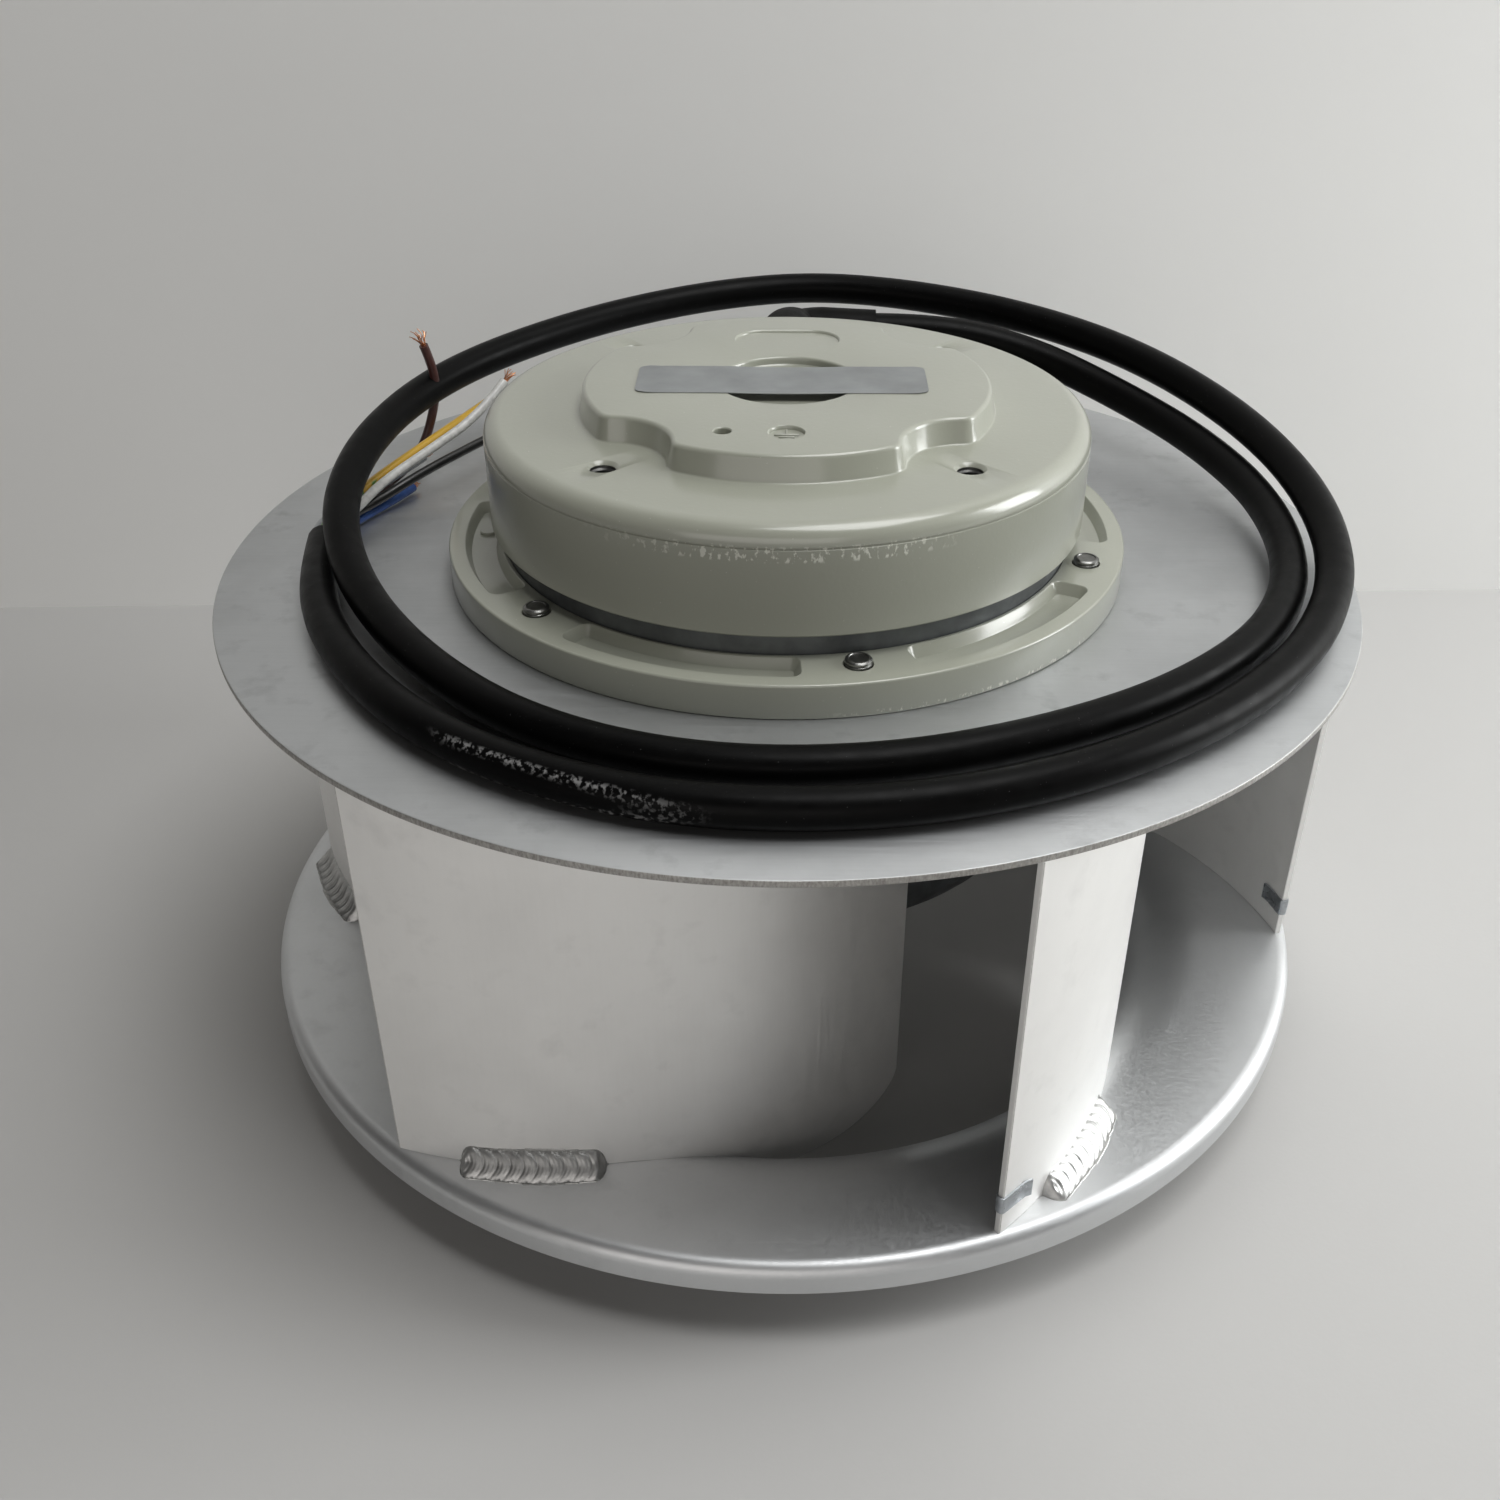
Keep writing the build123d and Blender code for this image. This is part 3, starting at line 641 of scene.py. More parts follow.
# %% [markdown]
# The cover is one casting: a low drum with a rounded shoulder and a raised plateau. The plateau
# is a circle with a bite round each fixing hole, and its corners are rounded, so its edge can be
# written as arcs. Every ring of the mesh has the same number of points as that edge, which lets
# one skin run from the inside of the drum, over the rim and shoulder, up to the plateau's middle.
# %% Cover
cover_low, cover_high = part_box("stator_cover")
cover_r = cover_high[0]
plateau_top = cover_high[2]
plateau_height = 6.0 * mm
cover_top = plateau_top - plateau_height
shoulder = 4.3 * mm
wall = 4.0 * mm
roof = 5.0 * mm
seam = cover_low[2] + 20.4 * mm
plateau_r = 50.0 * mm
bite_r = 14.3 * mm
bite_corner = 5.0 * mm
hole_circle = 57.5 * mm
recess_r = 16.7 * mm
recess_depth = 2.0 * mm


def plateau_edge(inset):
    """The plateau's edge, moved inwards by the inset."""
    corner_circle = plateau_r - bite_corner
    reach = bite_r + bite_corner
    swing = math.degrees(math.acos((corner_circle ** 2 + hole_circle ** 2 - reach ** 2)
                                   / (2 * corner_circle * hole_circle)))
    corner = Vector(polar(corner_circle, -swing))
    hole = Vector((hole_circle, 0))
    lean = math.degrees(math.atan2(*reversed(hole - corner)))
    quarter = arc((0, 0), plateau_r - inset, swing - 90, -swing, 30)[:-1]
    quarter += arc(corner, bite_corner - inset, -swing, lean, 6)[:-1]
    quarter += arc(hole, bite_r + inset, 180 + lean, 180 - lean, 16)[:-1]
    quarter += arc((corner.x, -corner.y), bite_corner - inset, -lean, swing, 6)[:-1]
    whole = []
    for number in range(4):
        spin = Matrix.Rotation(math.radians(45 + 90 * number), 2)
        whole += [tuple(spin @ Vector(point)) for point in quarter]
    return whole


edge_angles = [math.atan2(y, x) for x, y in plateau_edge(0)]


def round_ring(radius, height):
    return [(radius * math.cos(a), radius * math.sin(a), height) for a in edge_angles]


def edge_ring(inset, height):
    return [(x, y, height) for x, y in plateau_edge(inset)]


def cover_rings():
    inner = cover_r - wall
    ceiling = cover_top - roof
    base = cover_low[2]
    rim = 0.4 * mm
    groove = 0.3 * mm
    rings = [round_ring(0, ceiling), round_ring(inner - 2 * mm, ceiling), round_ring(inner, ceiling - 2 * mm)]
    rings += [round_ring(inner, base), round_ring(cover_r - rim, base), round_ring(cover_r, base + rim)]
    rings += [round_ring(cover_r, seam - groove), round_ring(cover_r - groove, seam - groove / 3)]
    rings += [round_ring(cover_r - groove, seam + groove / 3), round_ring(cover_r, seam + groove)]
    for r, z in arc((cover_r - shoulder, cover_top - shoulder), shoulder, 0, 90, 12):
        rings.append(round_ring(r, z))
    foot = 0.5 * mm
    for step in range(7):
        a = math.radians(80 * step / 6)
        rings.append(edge_ring(-foot + foot * math.sin(a), cover_top + foot - foot * math.cos(a)))
    crown = 1.2 * mm
    lean = 0.9 * mm
    for step in range(8):
        a = math.radians(8 + 82 * step / 7)
        rings.append(edge_ring(lean + crown * (1 - math.cos(a)), plateau_top - crown + crown * math.sin(a)))
    lip = 0.8 * mm
    for r, z in arc((recess_r + lip, plateau_top - lip), lip, 90, 180, 5):
        rings.append(round_ring(r, z))
    floor = plateau_top - recess_depth
    rings += [round_ring(recess_r - 0.2 * mm, floor + 0.3 * mm), round_ring(recess_r - 0.6 * mm, floor)]
    rings += [round_ring(6 * mm, floor), round_ring(5.4 * mm, floor - 0.6 * mm), round_ring(0, floor - 0.6 * mm)]
    return rings


def threaded_cutter(place):
    """A hole with a chamfered mouth, made to hold its threads."""
    profile = [(0, cover_top + 1 * mm), (3.85 * mm, cover_top + 1 * mm), (3.85 * mm, cover_top + 0.05 * mm)]
    profile += [(3.6 * mm, cover_top - 0.1 * mm), (2.95 * mm, cover_top - 0.85 * mm)]
    profile += [(2.95 * mm, cover_top - 9.5 * mm), (0, cover_top - 9.5 * mm)]
    return lathe("tapped_hole", profile, cover_paint, 48, False, place)


def thread_lining(place):
    """The bare metal threads of a tapped hole, tinted dark as painted shade inside the hole, thinner than the hole's
    wall is deep.
    """
    profile = [(2.94 * mm, cover_top - 0.95 * mm), (2.94 * mm, cover_top - 9.4 * mm), (2.5 * mm, cover_top - 9.4 * mm)]
    for turn_number in range(8):
        low = cover_top - (9.0 - turn_number) * mm
        profile += [(2.5 * mm, low - 0.15 * mm), (2.5 * mm, low + 0.1 * mm), (2.88 * mm, low + 0.5 * mm)]
    return lathe("lining", profile, thread_metal, 48, True, place)


def shallow_cutter(name, half_length, half_width, place, depth, flare):
    """A shallow pocket with round ends and a soft mouth."""
    rings = []
    levels = ((flare, plateau_top + 0.5 * mm), (flare, plateau_top + 0.02 * mm), (flare * 0.35, plateau_top - flare * 0.5),
              (0, plateau_top - flare), (-0.1 * mm, plateau_top - depth))
    for grow, height in levels:
        radius = half_width + grow
        shift = half_length - half_width
        outline = arc((place[0] + shift, place[1]), radius, -90, 90, 20)
        outline += arc((place[0] - shift, place[1]), radius, 90, 270, 20)
        rings.append([(x, y, height) for x, y in outline])
    return stacked(name, rings, cover_paint, caps=True)


cover = stacked("cover_casting", cover_rings(), cover_paint)
cutters = [threaded_cutter(polar(hole_circle, 45 + 90 * number)) for number in range(4)]
cutters.append(shallow_cutter("oval_pocket", 13.2 * mm, 6.95 * mm, (0, 31 * mm), 0.6 * mm, 0.35 * mm))
cutters.append(shallow_cutter("mark_pocket", 4.101 * mm, 4.1 * mm, (0, -35 * mm), 0.9 * mm, 0.2 * mm))
cutters.append(shallow_cutter("vent_hole", 2.001 * mm, 2.0 * mm, (-14.3 * mm, -34.4 * mm), 3.5 * mm, 0.25 * mm))
carved(cover, cutters)
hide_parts("stator_cover")
# The threads' dark tint is painted shade in the holes.
threads = joined("hole_threads", [thread_lining(polar(hole_circle, 45 + 90 * number)) for number in range(4)])
stator_pieces += [cover, threads]
print("cover", len(cover.data.polygons), "faces")

# %% [markdown]
# The mark beside the vent hole is the plain earth sign, raised in its round pocket: one stem
# and three bars that grow shorter. The rating label stays bare. It is foil on a thin film, so it
# bridges the round recess and sags a little over it, with a dark gap under its near edge.
# %% Earth mark and label
mark_floor = plateau_top - 0.92 * mm


def bar(centre, size):
    half = [part / 2 for part in size]
    outline = rounded([(-half[0], -half[1], 0.12 * mm), (half[0], -half[1], 0.12 * mm),
                       (half[0], half[1], 0.12 * mm), (-half[0], half[1], 0.12 * mm)], 2)
    levels = ((0.06 * mm, 0), (0.0, 0.05 * mm), (0.0, size[2] - 0.1 * mm), (-0.1 * mm, size[2]))
    rings = []
    for grow, height in levels:
        scale_x = (half[0] + grow) / half[0]
        scale_y = (half[1] + grow) / half[1]
        rings.append([(centre[0] + x * scale_x, centre[1] + y * scale_y, mark_floor + height) for x, y in outline])
    return stacked("mark_bar", rings, cover_paint, caps=True)


mark_y = -35 * mm
mark_parts = [bar((0, mark_y + 1.75 * mm), (0.5 * mm, 3.0 * mm, 0.4 * mm))]
for row, length in enumerate((5.6, 3.6, 1.8)):
    mark_parts.append(bar((0, mark_y - 1.3 * row * mm), (length * mm, 0.5 * mm, 0.4 * mm)))
earth_mark = joined("earth_mark", mark_parts)
label_low, label_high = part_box("rating_label")


def label_piece():
    """A bare foil label with round corners that sags over the recess."""
    across_steps = 70
    along_steps = 24
    corner = 2.5 * mm
    gauge = 0.12 * mm
    middle = Vector(((label_low[0] + label_high[0]) / 2, (label_low[1] + label_high[1]) / 2))
    half_x = (label_high[0] - label_low[0]) / 2
    half_y = (label_high[1] - label_low[1]) / 2

    def spot(i, j, lift):
        u = 2 * i / across_steps - 1
        v = 2 * j / along_steps - 1
        past = max(0.0, abs(v) * half_y - (half_y - corner))
        reach = half_x - corner + math.sqrt(max(0.0, corner ** 2 - past ** 2))
        x = middle.x + u * reach
        y = middle.y + v * half_y
        inside = max(0.0, 1 - math.hypot(x, y) / recess_r)
        sag = 0.45 * mm * inside ** 0.7
        curl = 0.1 * mm * max(0.0, abs(u) - 0.92) / 0.08
        return (x, y, plateau_top + 0.05 * mm + lift - sag + curl)

    top = [spot(i, j, gauge) for i in range(across_steps + 1) for j in range(along_steps + 1)]
    low = [spot(i, j, 0.0) for i in range(across_steps + 1) for j in range(along_steps + 1)]
    row = along_steps + 1
    half = len(top)
    faces = []
    for i in range(across_steps):
        for j in range(along_steps):
            a = i * row + j
            faces.append((a, a + 1, a + row + 1, a + row))
            faces.append((half + a, half + a + row, half + a + row + 1, half + a + 1))
    border = [j for j in range(row)] + [i * row + along_steps for i in range(1, across_steps + 1)]
    border += [across_steps * row + j for j in range(along_steps - 1, -1, -1)]
    border += [i * row for i in range(across_steps - 1, 0, -1)]
    for first, second in zip(border, border[1:] + border[:1]):
        faces.append((first, second, half + second, half + first))
    return mesh_piece("label_plate", top + low, faces, label_foil)


label = label_piece()
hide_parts("rating_label")
stator_pieces += [earth_mark, label]
print("label", round((label_high[0] - label_low[0]) / mm, 1), "mm long")

# %% [markdown]
# The flange ring is cast round the steel bell. Six curved pockets lighten it, with sloping walls
# and a soft mouth, and a screw comes up from below between each pair. A pocket is a rounded
# rectangle that is bent round the shaft, so its cutter is drawn flat and then wrapped.
# %% Flange ring and bell
flange_low, flange_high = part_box("rotor_flange")
flange_r = flange_high[0]
flange_top = flange_high[2]
bell_low, bell_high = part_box("rotor_bell")
bell_r = bell_high[0]
pocket_inner = bell_r + 1.2 * mm
pocket_outer = flange_r - 4.2 * mm
pocket_span = 41.0
pocket_first = -108.0
pocket_depth = 2.8 * mm
screw_circle = bell_r + 5.6 * mm
screw_first = -138.0
screw_r = 3.0 * mm


def pocket_cutter(azimuth):
    middle = (pocket_inner + pocket_outer) / 2
    half_width = (pocket_outer - pocket_inner) / 2
    half_length = middle * math.radians(pocket_span) / 2
    levels = ((0.3, 0.8), (0.3, 0.02), (0.1, -0.12), (0.0, -0.3), (-1.0, -2.4), (-1.2, -2.7), (-1.6, -2.8))
    rings = []
    for grow, level in levels:
        a = half_length + grow * mm
        b = half_width + grow * mm
        corner = max(0.6, 2.3 + grow) * mm
        flat = rounded([(-a, -b, corner), (a, -b, corner), (a, b, corner), (-a, b, corner)], 6)
        flat = [point for pair in zip(flat, flat[1:] + flat[:1]) for point in filled(*pair)]
        ring = []
        for x, y in flat:
            px, py = polar(middle + y, azimuth + math.degrees(x / middle))
            ring.append((px, py, flange_top + level * mm))
        rings.append(ring)
    return stacked("pocket", rings, flange_paint, caps=True)


def filled(first, second, longest=0.2):
    """The first point, and points after it where the way to the second is long."""
    parts = 24 if math.dist(first, second) > longest * 50 * mm else 1
    return [(first[0] + (second[0] - first[0]) * part / parts, first[1] + (second[1] - first[1]) * part / parts)
            for part in range(parts)]


flange_profile = rounded([(bell_r, flange_low[2], 0), (flange_r, flange_low[2], 0.5 * mm),
                          (flange_r, flange_top, 0.6 * mm), (bell_r, flange_top, 0.5 * mm)], 5)
flange = lathe("flange_casting", flange_profile, flange_paint, 288)
flange_cutters = [pocket_cutter(pocket_first + 60 * number) for number in range(6)]
for number in range(6):
    hole = [(0, flange_low[2] - 1 * mm), (3.1 * mm, flange_low[2] - 1 * mm), (3.1 * mm, flange_top - 0.5 * mm),
            (3.4 * mm, flange_top + 0.02 * mm), (3.4 * mm, flange_top + 1 * mm), (0, flange_top + 1 * mm)]
    flange_cutters.append(lathe("screw_hole", hole, flange_paint, 40, False,
                                polar(screw_circle, screw_first + 60 * number)))
carved(flange, flange_cutters)
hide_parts("rotor_flange")

ejector_profile = [(0, flange_top - 3 * mm), (2.1 * mm, flange_top - 3 * mm), (2.1 * mm, flange_top - 2.3 * mm),
                   (1.9 * mm, flange_top - 2.1 * mm), (0, flange_top - 2.1 * mm)]
ejector_mark = lathe("ejector_mark", ejector_profile, flange_paint, 32, False, polar(75.4 * mm, -178.6))

shaft_r = 6.0 * mm
hub_r = 14.0 * mm
spigot_r = 8.5 * mm
bell_bore = bell_r - 4.3 * mm
bell_floor = bell_low[2] + 5.0 * mm
hub_top = bell_floor + 16.0 * mm
bell_profile = rounded([(shaft_r, bell_low[2], 0), (bell_r, bell_low[2], 16.0 * mm), (bell_r, bell_high[2], 0.5 * mm),
                        (bell_bore, bell_high[2], 0.5 * mm), (bell_bore, bell_floor, 11.7 * mm),
                        (hub_r, bell_floor, 2.0 * mm), (hub_r, hub_top, 0.8 * mm), (spigot_r, hub_top, 0),
                        (spigot_r, hub_top + 4 * mm, 0.3 * mm), (shaft_r, hub_top + 4 * mm, 0)], 14)
bell = lathe("bell_shell", bell_profile, bell_steel, 256)
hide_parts("rotor_bell")
impeller_pieces += [flange, ejector_mark, bell]
print("flange", len(flange.data.polygons), "faces, bell", len(bell.data.polygons), "faces")

# %% [markdown]
# The back plate and the inlet shroud are turned from the same sheet. The plate is a flat ring.
# The shroud rolls over at its rim into a short lip and curves down into the inlet's collar.
# Every cut edge has a hair of rounding, which is the bright line seen along a sheared edge.
# %% Plate and shroud
shroud_low, shroud_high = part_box("inlet_shroud")
rim_r = shroud_high[0]
annulus_top = shroud_high[2]
rim_round = 3.5 * mm
lip_low = 16.0 * mm
throat_round = 20.0 * mm
throat_r = 99.0 * mm
throat_low = annulus_top - throat_round
burr = 0.25 * mm
plate_profile = rounded([(bell_r + 0.3 * mm, plate_low[2], burr), (plate_r, plate_low[2], burr),
                         (plate_r, plate_top, burr), (bell_r + 0.3 * mm, plate_top, burr)], 3)
# The plate's darker tint is painted shade.
plate = lathe("plate_disc", plate_profile, plate_metal, 320)
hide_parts("back_plate")


def shroud_profile():
    rim_centre = (rim_r - rim_round, annulus_top - rim_round)
    throat_centre = (throat_r + throat_round, throat_low)
    air_side = arc(throat_centre, throat_round, 180, 90, 28) + arc(rim_centre, rim_round, 90, 0, 10)
    far_side = arc(rim_centre, rim_round - sheet, 0, 90, 10) + arc(throat_centre, throat_round - sheet, 90, 180, 28)
    edge = 0.3 * mm
    lip = [(rim_r, lip_low + edge), (rim_r - edge, lip_low), (rim_r - sheet + edge, lip_low),
           (rim_r - sheet, lip_low + edge)]
    collar = [(throat_r + sheet, edge), (throat_r + sheet - edge, 0), (throat_r + edge, 0), (throat_r, edge)]
    return air_side + lip + far_side + collar


shroud = lathe("shroud_spinning", shroud_profile(), shroud_metal, 320)
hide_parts("inlet_shroud")
impeller_pieces += [plate, shroud]
print("plate", len(plate.data.polygons), "faces, shroud", len(shroud.data.polygons), "faces")

# %% [markdown]
# A blade is a strip of sheet bent to one radius. Its tip stands at the plate's rim, its inner end
# reaches in to the bell, and its lower edge follows the shroud and ends in a rounded corner. One
# blade is drawn for a tip on the +X side and copied round the shaft, and so are its weld beads.
# %% Blades
blade_first = -129.9
blade_wrap = math.radians(60.6)
blade_bow = 114.0 * mm
blade_tip_r = plate_r - sheet / 2
blade_inner_r = screw_circle + 5.1 * mm
blade_foot = 10.3 * mm
blade_corner = 12.0 * mm
blade_count = 6

tip = Vector((blade_tip_r, 0))
inner_end = Vector((blade_inner_r * math.cos(blade_wrap), blade_inner_r * math.sin(blade_wrap)))
chord = inner_end - tip
depth = math.sqrt(blade_bow ** 2 - (chord.length / 2) ** 2)
bow_centre = (tip + inner_end) / 2 + Vector((-chord.y, chord.x)).normalized() * depth
bow_first = math.atan2(*reversed(tip - bow_centre))
bow_sweep = math.atan2(*reversed(inner_end - bow_centre)) - bow_first


def on_bow(angle, offset, height):
    """A point by its angle from the blade's tip, its distance outside the bow, and its height."""
    radius = blade_bow + offset
    return (bow_centre.x + radius * math.cos(bow_first + angle),
            bow_centre.y + radius * math.sin(bow_first + angle), height)


def lower_edge(angle):
    x, y, _ = on_bow(angle, 0, 0)
    radius = math.hypot(x, y)
    height = blade_foot
    throat = throat_r + throat_round - radius
    if throat <= 0:
        height = annulus_top
    elif throat < throat_round:
        height = max(height, throat_low + math.sqrt(throat_round ** 2 - throat ** 2))
    corner = blade_inner_r + blade_corner - radius
    if corner > 0:
        height = max(height, blade_foot + blade_corner - math.sqrt(max(0.0, blade_corner ** 2 - corner ** 2)))
    return height


def blade_piece():
    columns = 150
    rows = 4
    hair = 0.2 * mm
    layers = ((sheet / 2, hair), (sheet / 2 - hair, 0.0), (-sheet / 2 + hair, 0.0), (-sheet / 2, hair))
    points = []
    for offset, inset in layers:
        for i in range(columns + 1):
            angle = inset / blade_bow + (bow_sweep - 2 * inset / blade_bow) * i / columns
            low = lower_edge(angle) + inset
            high = plate_low[2] - inset
            points += [on_bow(angle, offset, low + (high - low) * j / rows) for j in range(rows + 1)]
    row = rows + 1
    layer = (columns + 1) * row
    faces = []
    for i in range(columns):
        for j in range(rows):
            a = i * row + j
            faces.append((a, a + 1, a + row + 1, a + row))
            b = 3 * layer + a
            faces.append((b, b + row, b + row + 1, b + 1))
    border = list(range(row)) + [i * row + rows for i in range(1, columns + 1)]
    border += [columns * row + j for j in range(rows - 1, -1, -1)] + [i * row for i in range(columns - 1, 0, -1)]
    for level in range(3):
        low = level * layer
        for first, second in zip(border, border[1:] + border[:1]):
            faces.append((low + first, low + second, low + layer + second, low + layer + first))
    return mesh_piece("blade", points, faces, blade_metal)


# The blades' pale tint is painted light.
blades = ring_of_copies("blades", blade_piece(), blade_count, blade_first, blade_metal)
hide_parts(*["blade_%d" % (number + 1) for number in range(blade_count)])
impeller_pieces.append(blades)

# %% [markdown]
# A hand-laid bead of weld is a row of frozen puddles. Each one overlaps the last, so the ripples
# are arcs that lean the same way, with a sharp valley between them. The bead swells and narrows
# as the hand moved, starts with a crater and ends in a round drop.
# %% Weld beads
bead_leg = 5.0 * mm
bead_start = math.radians(8)
bead_sweep = math.radians(17)
hidden_bead_sweep = math.radians(40)


def bead_piece(name, base, up, sweep, puddles, seed):
    """A fillet of frozen puddles with a thin washed margin on both sheets."""
    rng = random.Random(seed)
    wobble = [rng.uniform(-1, 1) for _ in range(puddles + 4)]
    steps = puddles * 20
    sides = 20
    margin = 0.6 * mm / (blade_bow * sweep)
    rings = []
    for i in range(steps + 1):
        t = -margin + (1 + 2 * margin) * i / steps
        place = t * puddles + 1
        number = int(place)
        share = place - number
        sway = wobble[number] * (1 - share) + wobble[number + 1] * share
        end = min(1.0, math.sqrt(max(0.0, 1 - max(0.0, 1 - t * puddles / 0.9) ** 2)),
                  math.sqrt(max(0.0, 1 - max(0.0, 1 - (1 - t) * puddles / 0.9) ** 2)))
        body = bead_leg * (0.95 + 0.05 * sway) * end
        fade = math.sqrt(max(0.0, 1 - abs(2 * i / steps - 1) ** 16))
        wash = (0.9 + 0.3 * wobble[-1 - number]) * mm * fade
        angle = bead_start + sweep * t
        ring = [on_bow(angle, sheet / 2 + body + wash, base - up * 0.05 * mm),
                on_bow(angle, sheet / 2 + body + 0.8 * wash, base + up * 0.15 * mm)]
        for k in range(sides + 1):
            side = k / sides * math.pi / 2
            bow_shape = 1 - math.sqrt(1 - 0.9 * (2 * k / sides - 1) ** 2)
            phase = place + 1.1 * bow_shape
            ripple = abs(math.sin(math.pi * phase)) ** 0.7 + 0.3 * abs(math.sin(3 * math.pi * phase))
            pit = 0.5 * mm * math.exp(-((t * puddles - 0.75) / 0.28) ** 2 - (2 * k / sides - 1) ** 2 * 5)
            radius = max(body * (1 - 0.25 * math.sin(2 * side)) + 0.24 * mm * ripple * end - pit, 0.07 * mm)
            ring.append(on_bow(angle, sheet / 2 + radius * math.cos(side), base + up * radius * math.sin(side)))
        ring += [on_bow(angle, sheet / 2 + 0.15 * mm, base + up * (body + 0.8 * wash)),
                 on_bow(angle, sheet / 2 - 0.05 * mm, base + up * (body + wash)),
                 on_bow(angle, sheet / 2 - 0.1 * mm, base - up * 0.1 * mm)]
        rings.append(ring)
    return stacked(name, rings, weld_metal, caps=True)


foot_beads = ring_of_copies("foot_beads", bead_piece("bead", annulus_top, 1, bead_sweep, 11, 4),
                            blade_count, blade_first, weld_metal, 50)
top_beads = ring_of_copies("top_beads", bead_piece("bead", plate_low[2], -1, hidden_bead_sweep, 26, 9),
                           blade_count, blade_first, weld_metal, 50)
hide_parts("shroud_welds")
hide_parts("back_plate_welds")
impeller_pieces += [foot_beads, top_beads]

# %% [markdown]
# The flange's screws come up from under the plate. Only their ends show on top: a bright chamfer,
# a trace of thread and a dished end. Below, each has a round head with a hexagon socket, which is cut
# before the copies are made. The balance clips are strips of spring steel bent over a blade's edge.
# %% Screws and balance clips
washer_low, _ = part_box("flange_washers")
head_top = washer_low[2]
screw_low, screw_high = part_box("flange_screws")


def screw_piece():
    top = screw_high[2]
    centre = (screw_circle, 0)
    profile = [(0, screw_low[2]), (4.6 * mm, screw_low[2]), (5.0 * mm, screw_low[2] + 0.4 * mm)]
    profile += [(5.0 * mm, head_top - 0.3 * mm), (4.8 * mm, head_top), (3.0 * mm, head_top)]
    profile += [(3.0 * mm, flange_top - 1.0 * mm)]
    profile += [(3.0 * mm, flange_top + 0.3 * mm), (2.78 * mm, flange_top + 0.5 * mm)]
    profile += [(3.0 * mm, flange_top + 0.7 * mm), (3.0 * mm, top - 0.4 * mm), (2.65 * mm, top - 0.06 * mm)]
    profile += [(2.5 * mm, top), (2.2 * mm, top), (2.05 * mm, top - 0.2 * mm), (0, top - 0.3 * mm)]
    screw = lathe("screw", profile, zinc, 40, False, centre)
    hexagon = [polar(2.9 * mm, 60 * side) for side in range(6)]
    levels = (screw_low[2] - 0.5 * mm, screw_low[2] + 3.0 * mm)
    rings = [[(centre[0] + x, y, level) for x, y in hexagon] for level in levels]
    return carved(screw, [stacked("socket", rings, zinc, caps=True)])


screws = ring_of_copies("screws", screw_piece(), 6, screw_first, zinc)
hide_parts("flange_screws")


def clip_piece(name, blade_number):
    """A strip bent round the blade's trailing edge, both legs flared at their ends."""
    low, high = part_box("balance_clips")
    gauge = 0.5 * mm
    face = sheet / 2 + gauge / 2
    path = [(9.0, face + 0.75 * mm), (7.6, face + 0.15 * mm), (5.5, face), (0.6, face), (0.05, face - 0.1 * mm),
            (-0.28, face - 0.45 * mm), (-0.34, 0.0), (-0.28, 0.45 * mm - face), (0.05, 0.1 * mm - face),
            (0.6, -face), (5.5, -face), (7.6, -face - 0.1 * mm), (8.6, -face - 0.5 * mm)]
    spin = Matrix.Rotation(math.radians(blade_first + 60 * blade_number), 3, "Z")
    rings = []
    for index, (along, offset) in enumerate(path):
        before = path[max(index - 1, 0)]
        after = path[min(index + 1, len(path) - 1)]
        way = Vector(((after[0] - before[0]) * mm, after[1] - before[1])).normalized()
        side = Vector((-way.y, way.x)) * gauge / 2
        ring = []
        for sign, height in ((1, low[2]), (1, high[2]), (-1, high[2]), (-1, low[2])):
            angle = (along * mm + sign * side.x) / blade_bow
            ring.append(spin @ Vector(on_bow(angle, offset + sign * side.y, height)))
        rings.append(ring)
    clip = stacked(name, rings, spring_steel, caps=True)
    soften = clip.modifiers.new("edges", "BEVEL")
    soften.width = 0.12 * mm
    soften.segments = 2
    return settled(clip, 40)


clips = joined("edge_clips", [clip_piece("clip", 1), clip_piece("clip", 2)])
clips.data.shade_smooth()
clips.data.set_sharp_from_angle(angle=math.radians(40))
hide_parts("balance_clips")
impeller_pieces += [screws, clips]
print("clips", len(clips.data.polygons), "faces")

# %% [markdown]
# The gland is a moulded rubber elbow: a thick hump on the cover's side, a quarter turn, and a
# thinner sleeve that the cable leaves by. Its skin is a row of rings along a bent line, and the
# same helper draws the thin copper strands where the cores are stripped and frayed.
# %% Gland and bare ends


def tube_piece(name, places, radii, look, sides=24):
    """Rings of changing radius along a line of places."""
    rings = []
    side = None
    for index, place in enumerate(places):
        way = (places[min(index + 1, len(places) - 1)] - places[max(index - 1, 0)]).normalized()
        if side is None:
            side = way.orthogonal().normalized()
        side = (side - way * side.dot(way)).normalized()
        other = way.cross(side)
        rings.append([place + radii[index] * (side * math.cos(a) + other * math.sin(a))
                      for a in [2 * math.pi * step / sides for step in range(sides)]])
    return stacked(name, rings, look, caps=True)


gland_height = plate_top + 28.0 * mm
elbow = 10.5 * mm
gland_reach = 95.0 * mm
gland_mouth = 26.0 * mm
places = [Vector((0, cover_r - 1 * mm + step * 1.23 * mm, gland_height)) for step in range(10)]
radii = [8.4 * mm] * 10
for step, (x, y) in enumerate(arc((elbow, gland_reach - elbow), elbow, 180, 90, 14)):
    places.append(Vector((x, y, gland_height)))
    radii.append((6.1 + 2.3 * max(0.0, 1 - (step / 9) ** 2)) * mm)
for step in range(1, 15):
    share = step / 14
    places.append(Vector((elbow + (gland_mouth - elbow) * share, gland_reach, gland_height)))
    radii.append((6.1 - 0.7 * share) * mm)
gland = tube_piece("gland_elbow", places, radii, gland_rubber, 40)
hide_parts("cable_gland")
stator_pieces.append(gland)


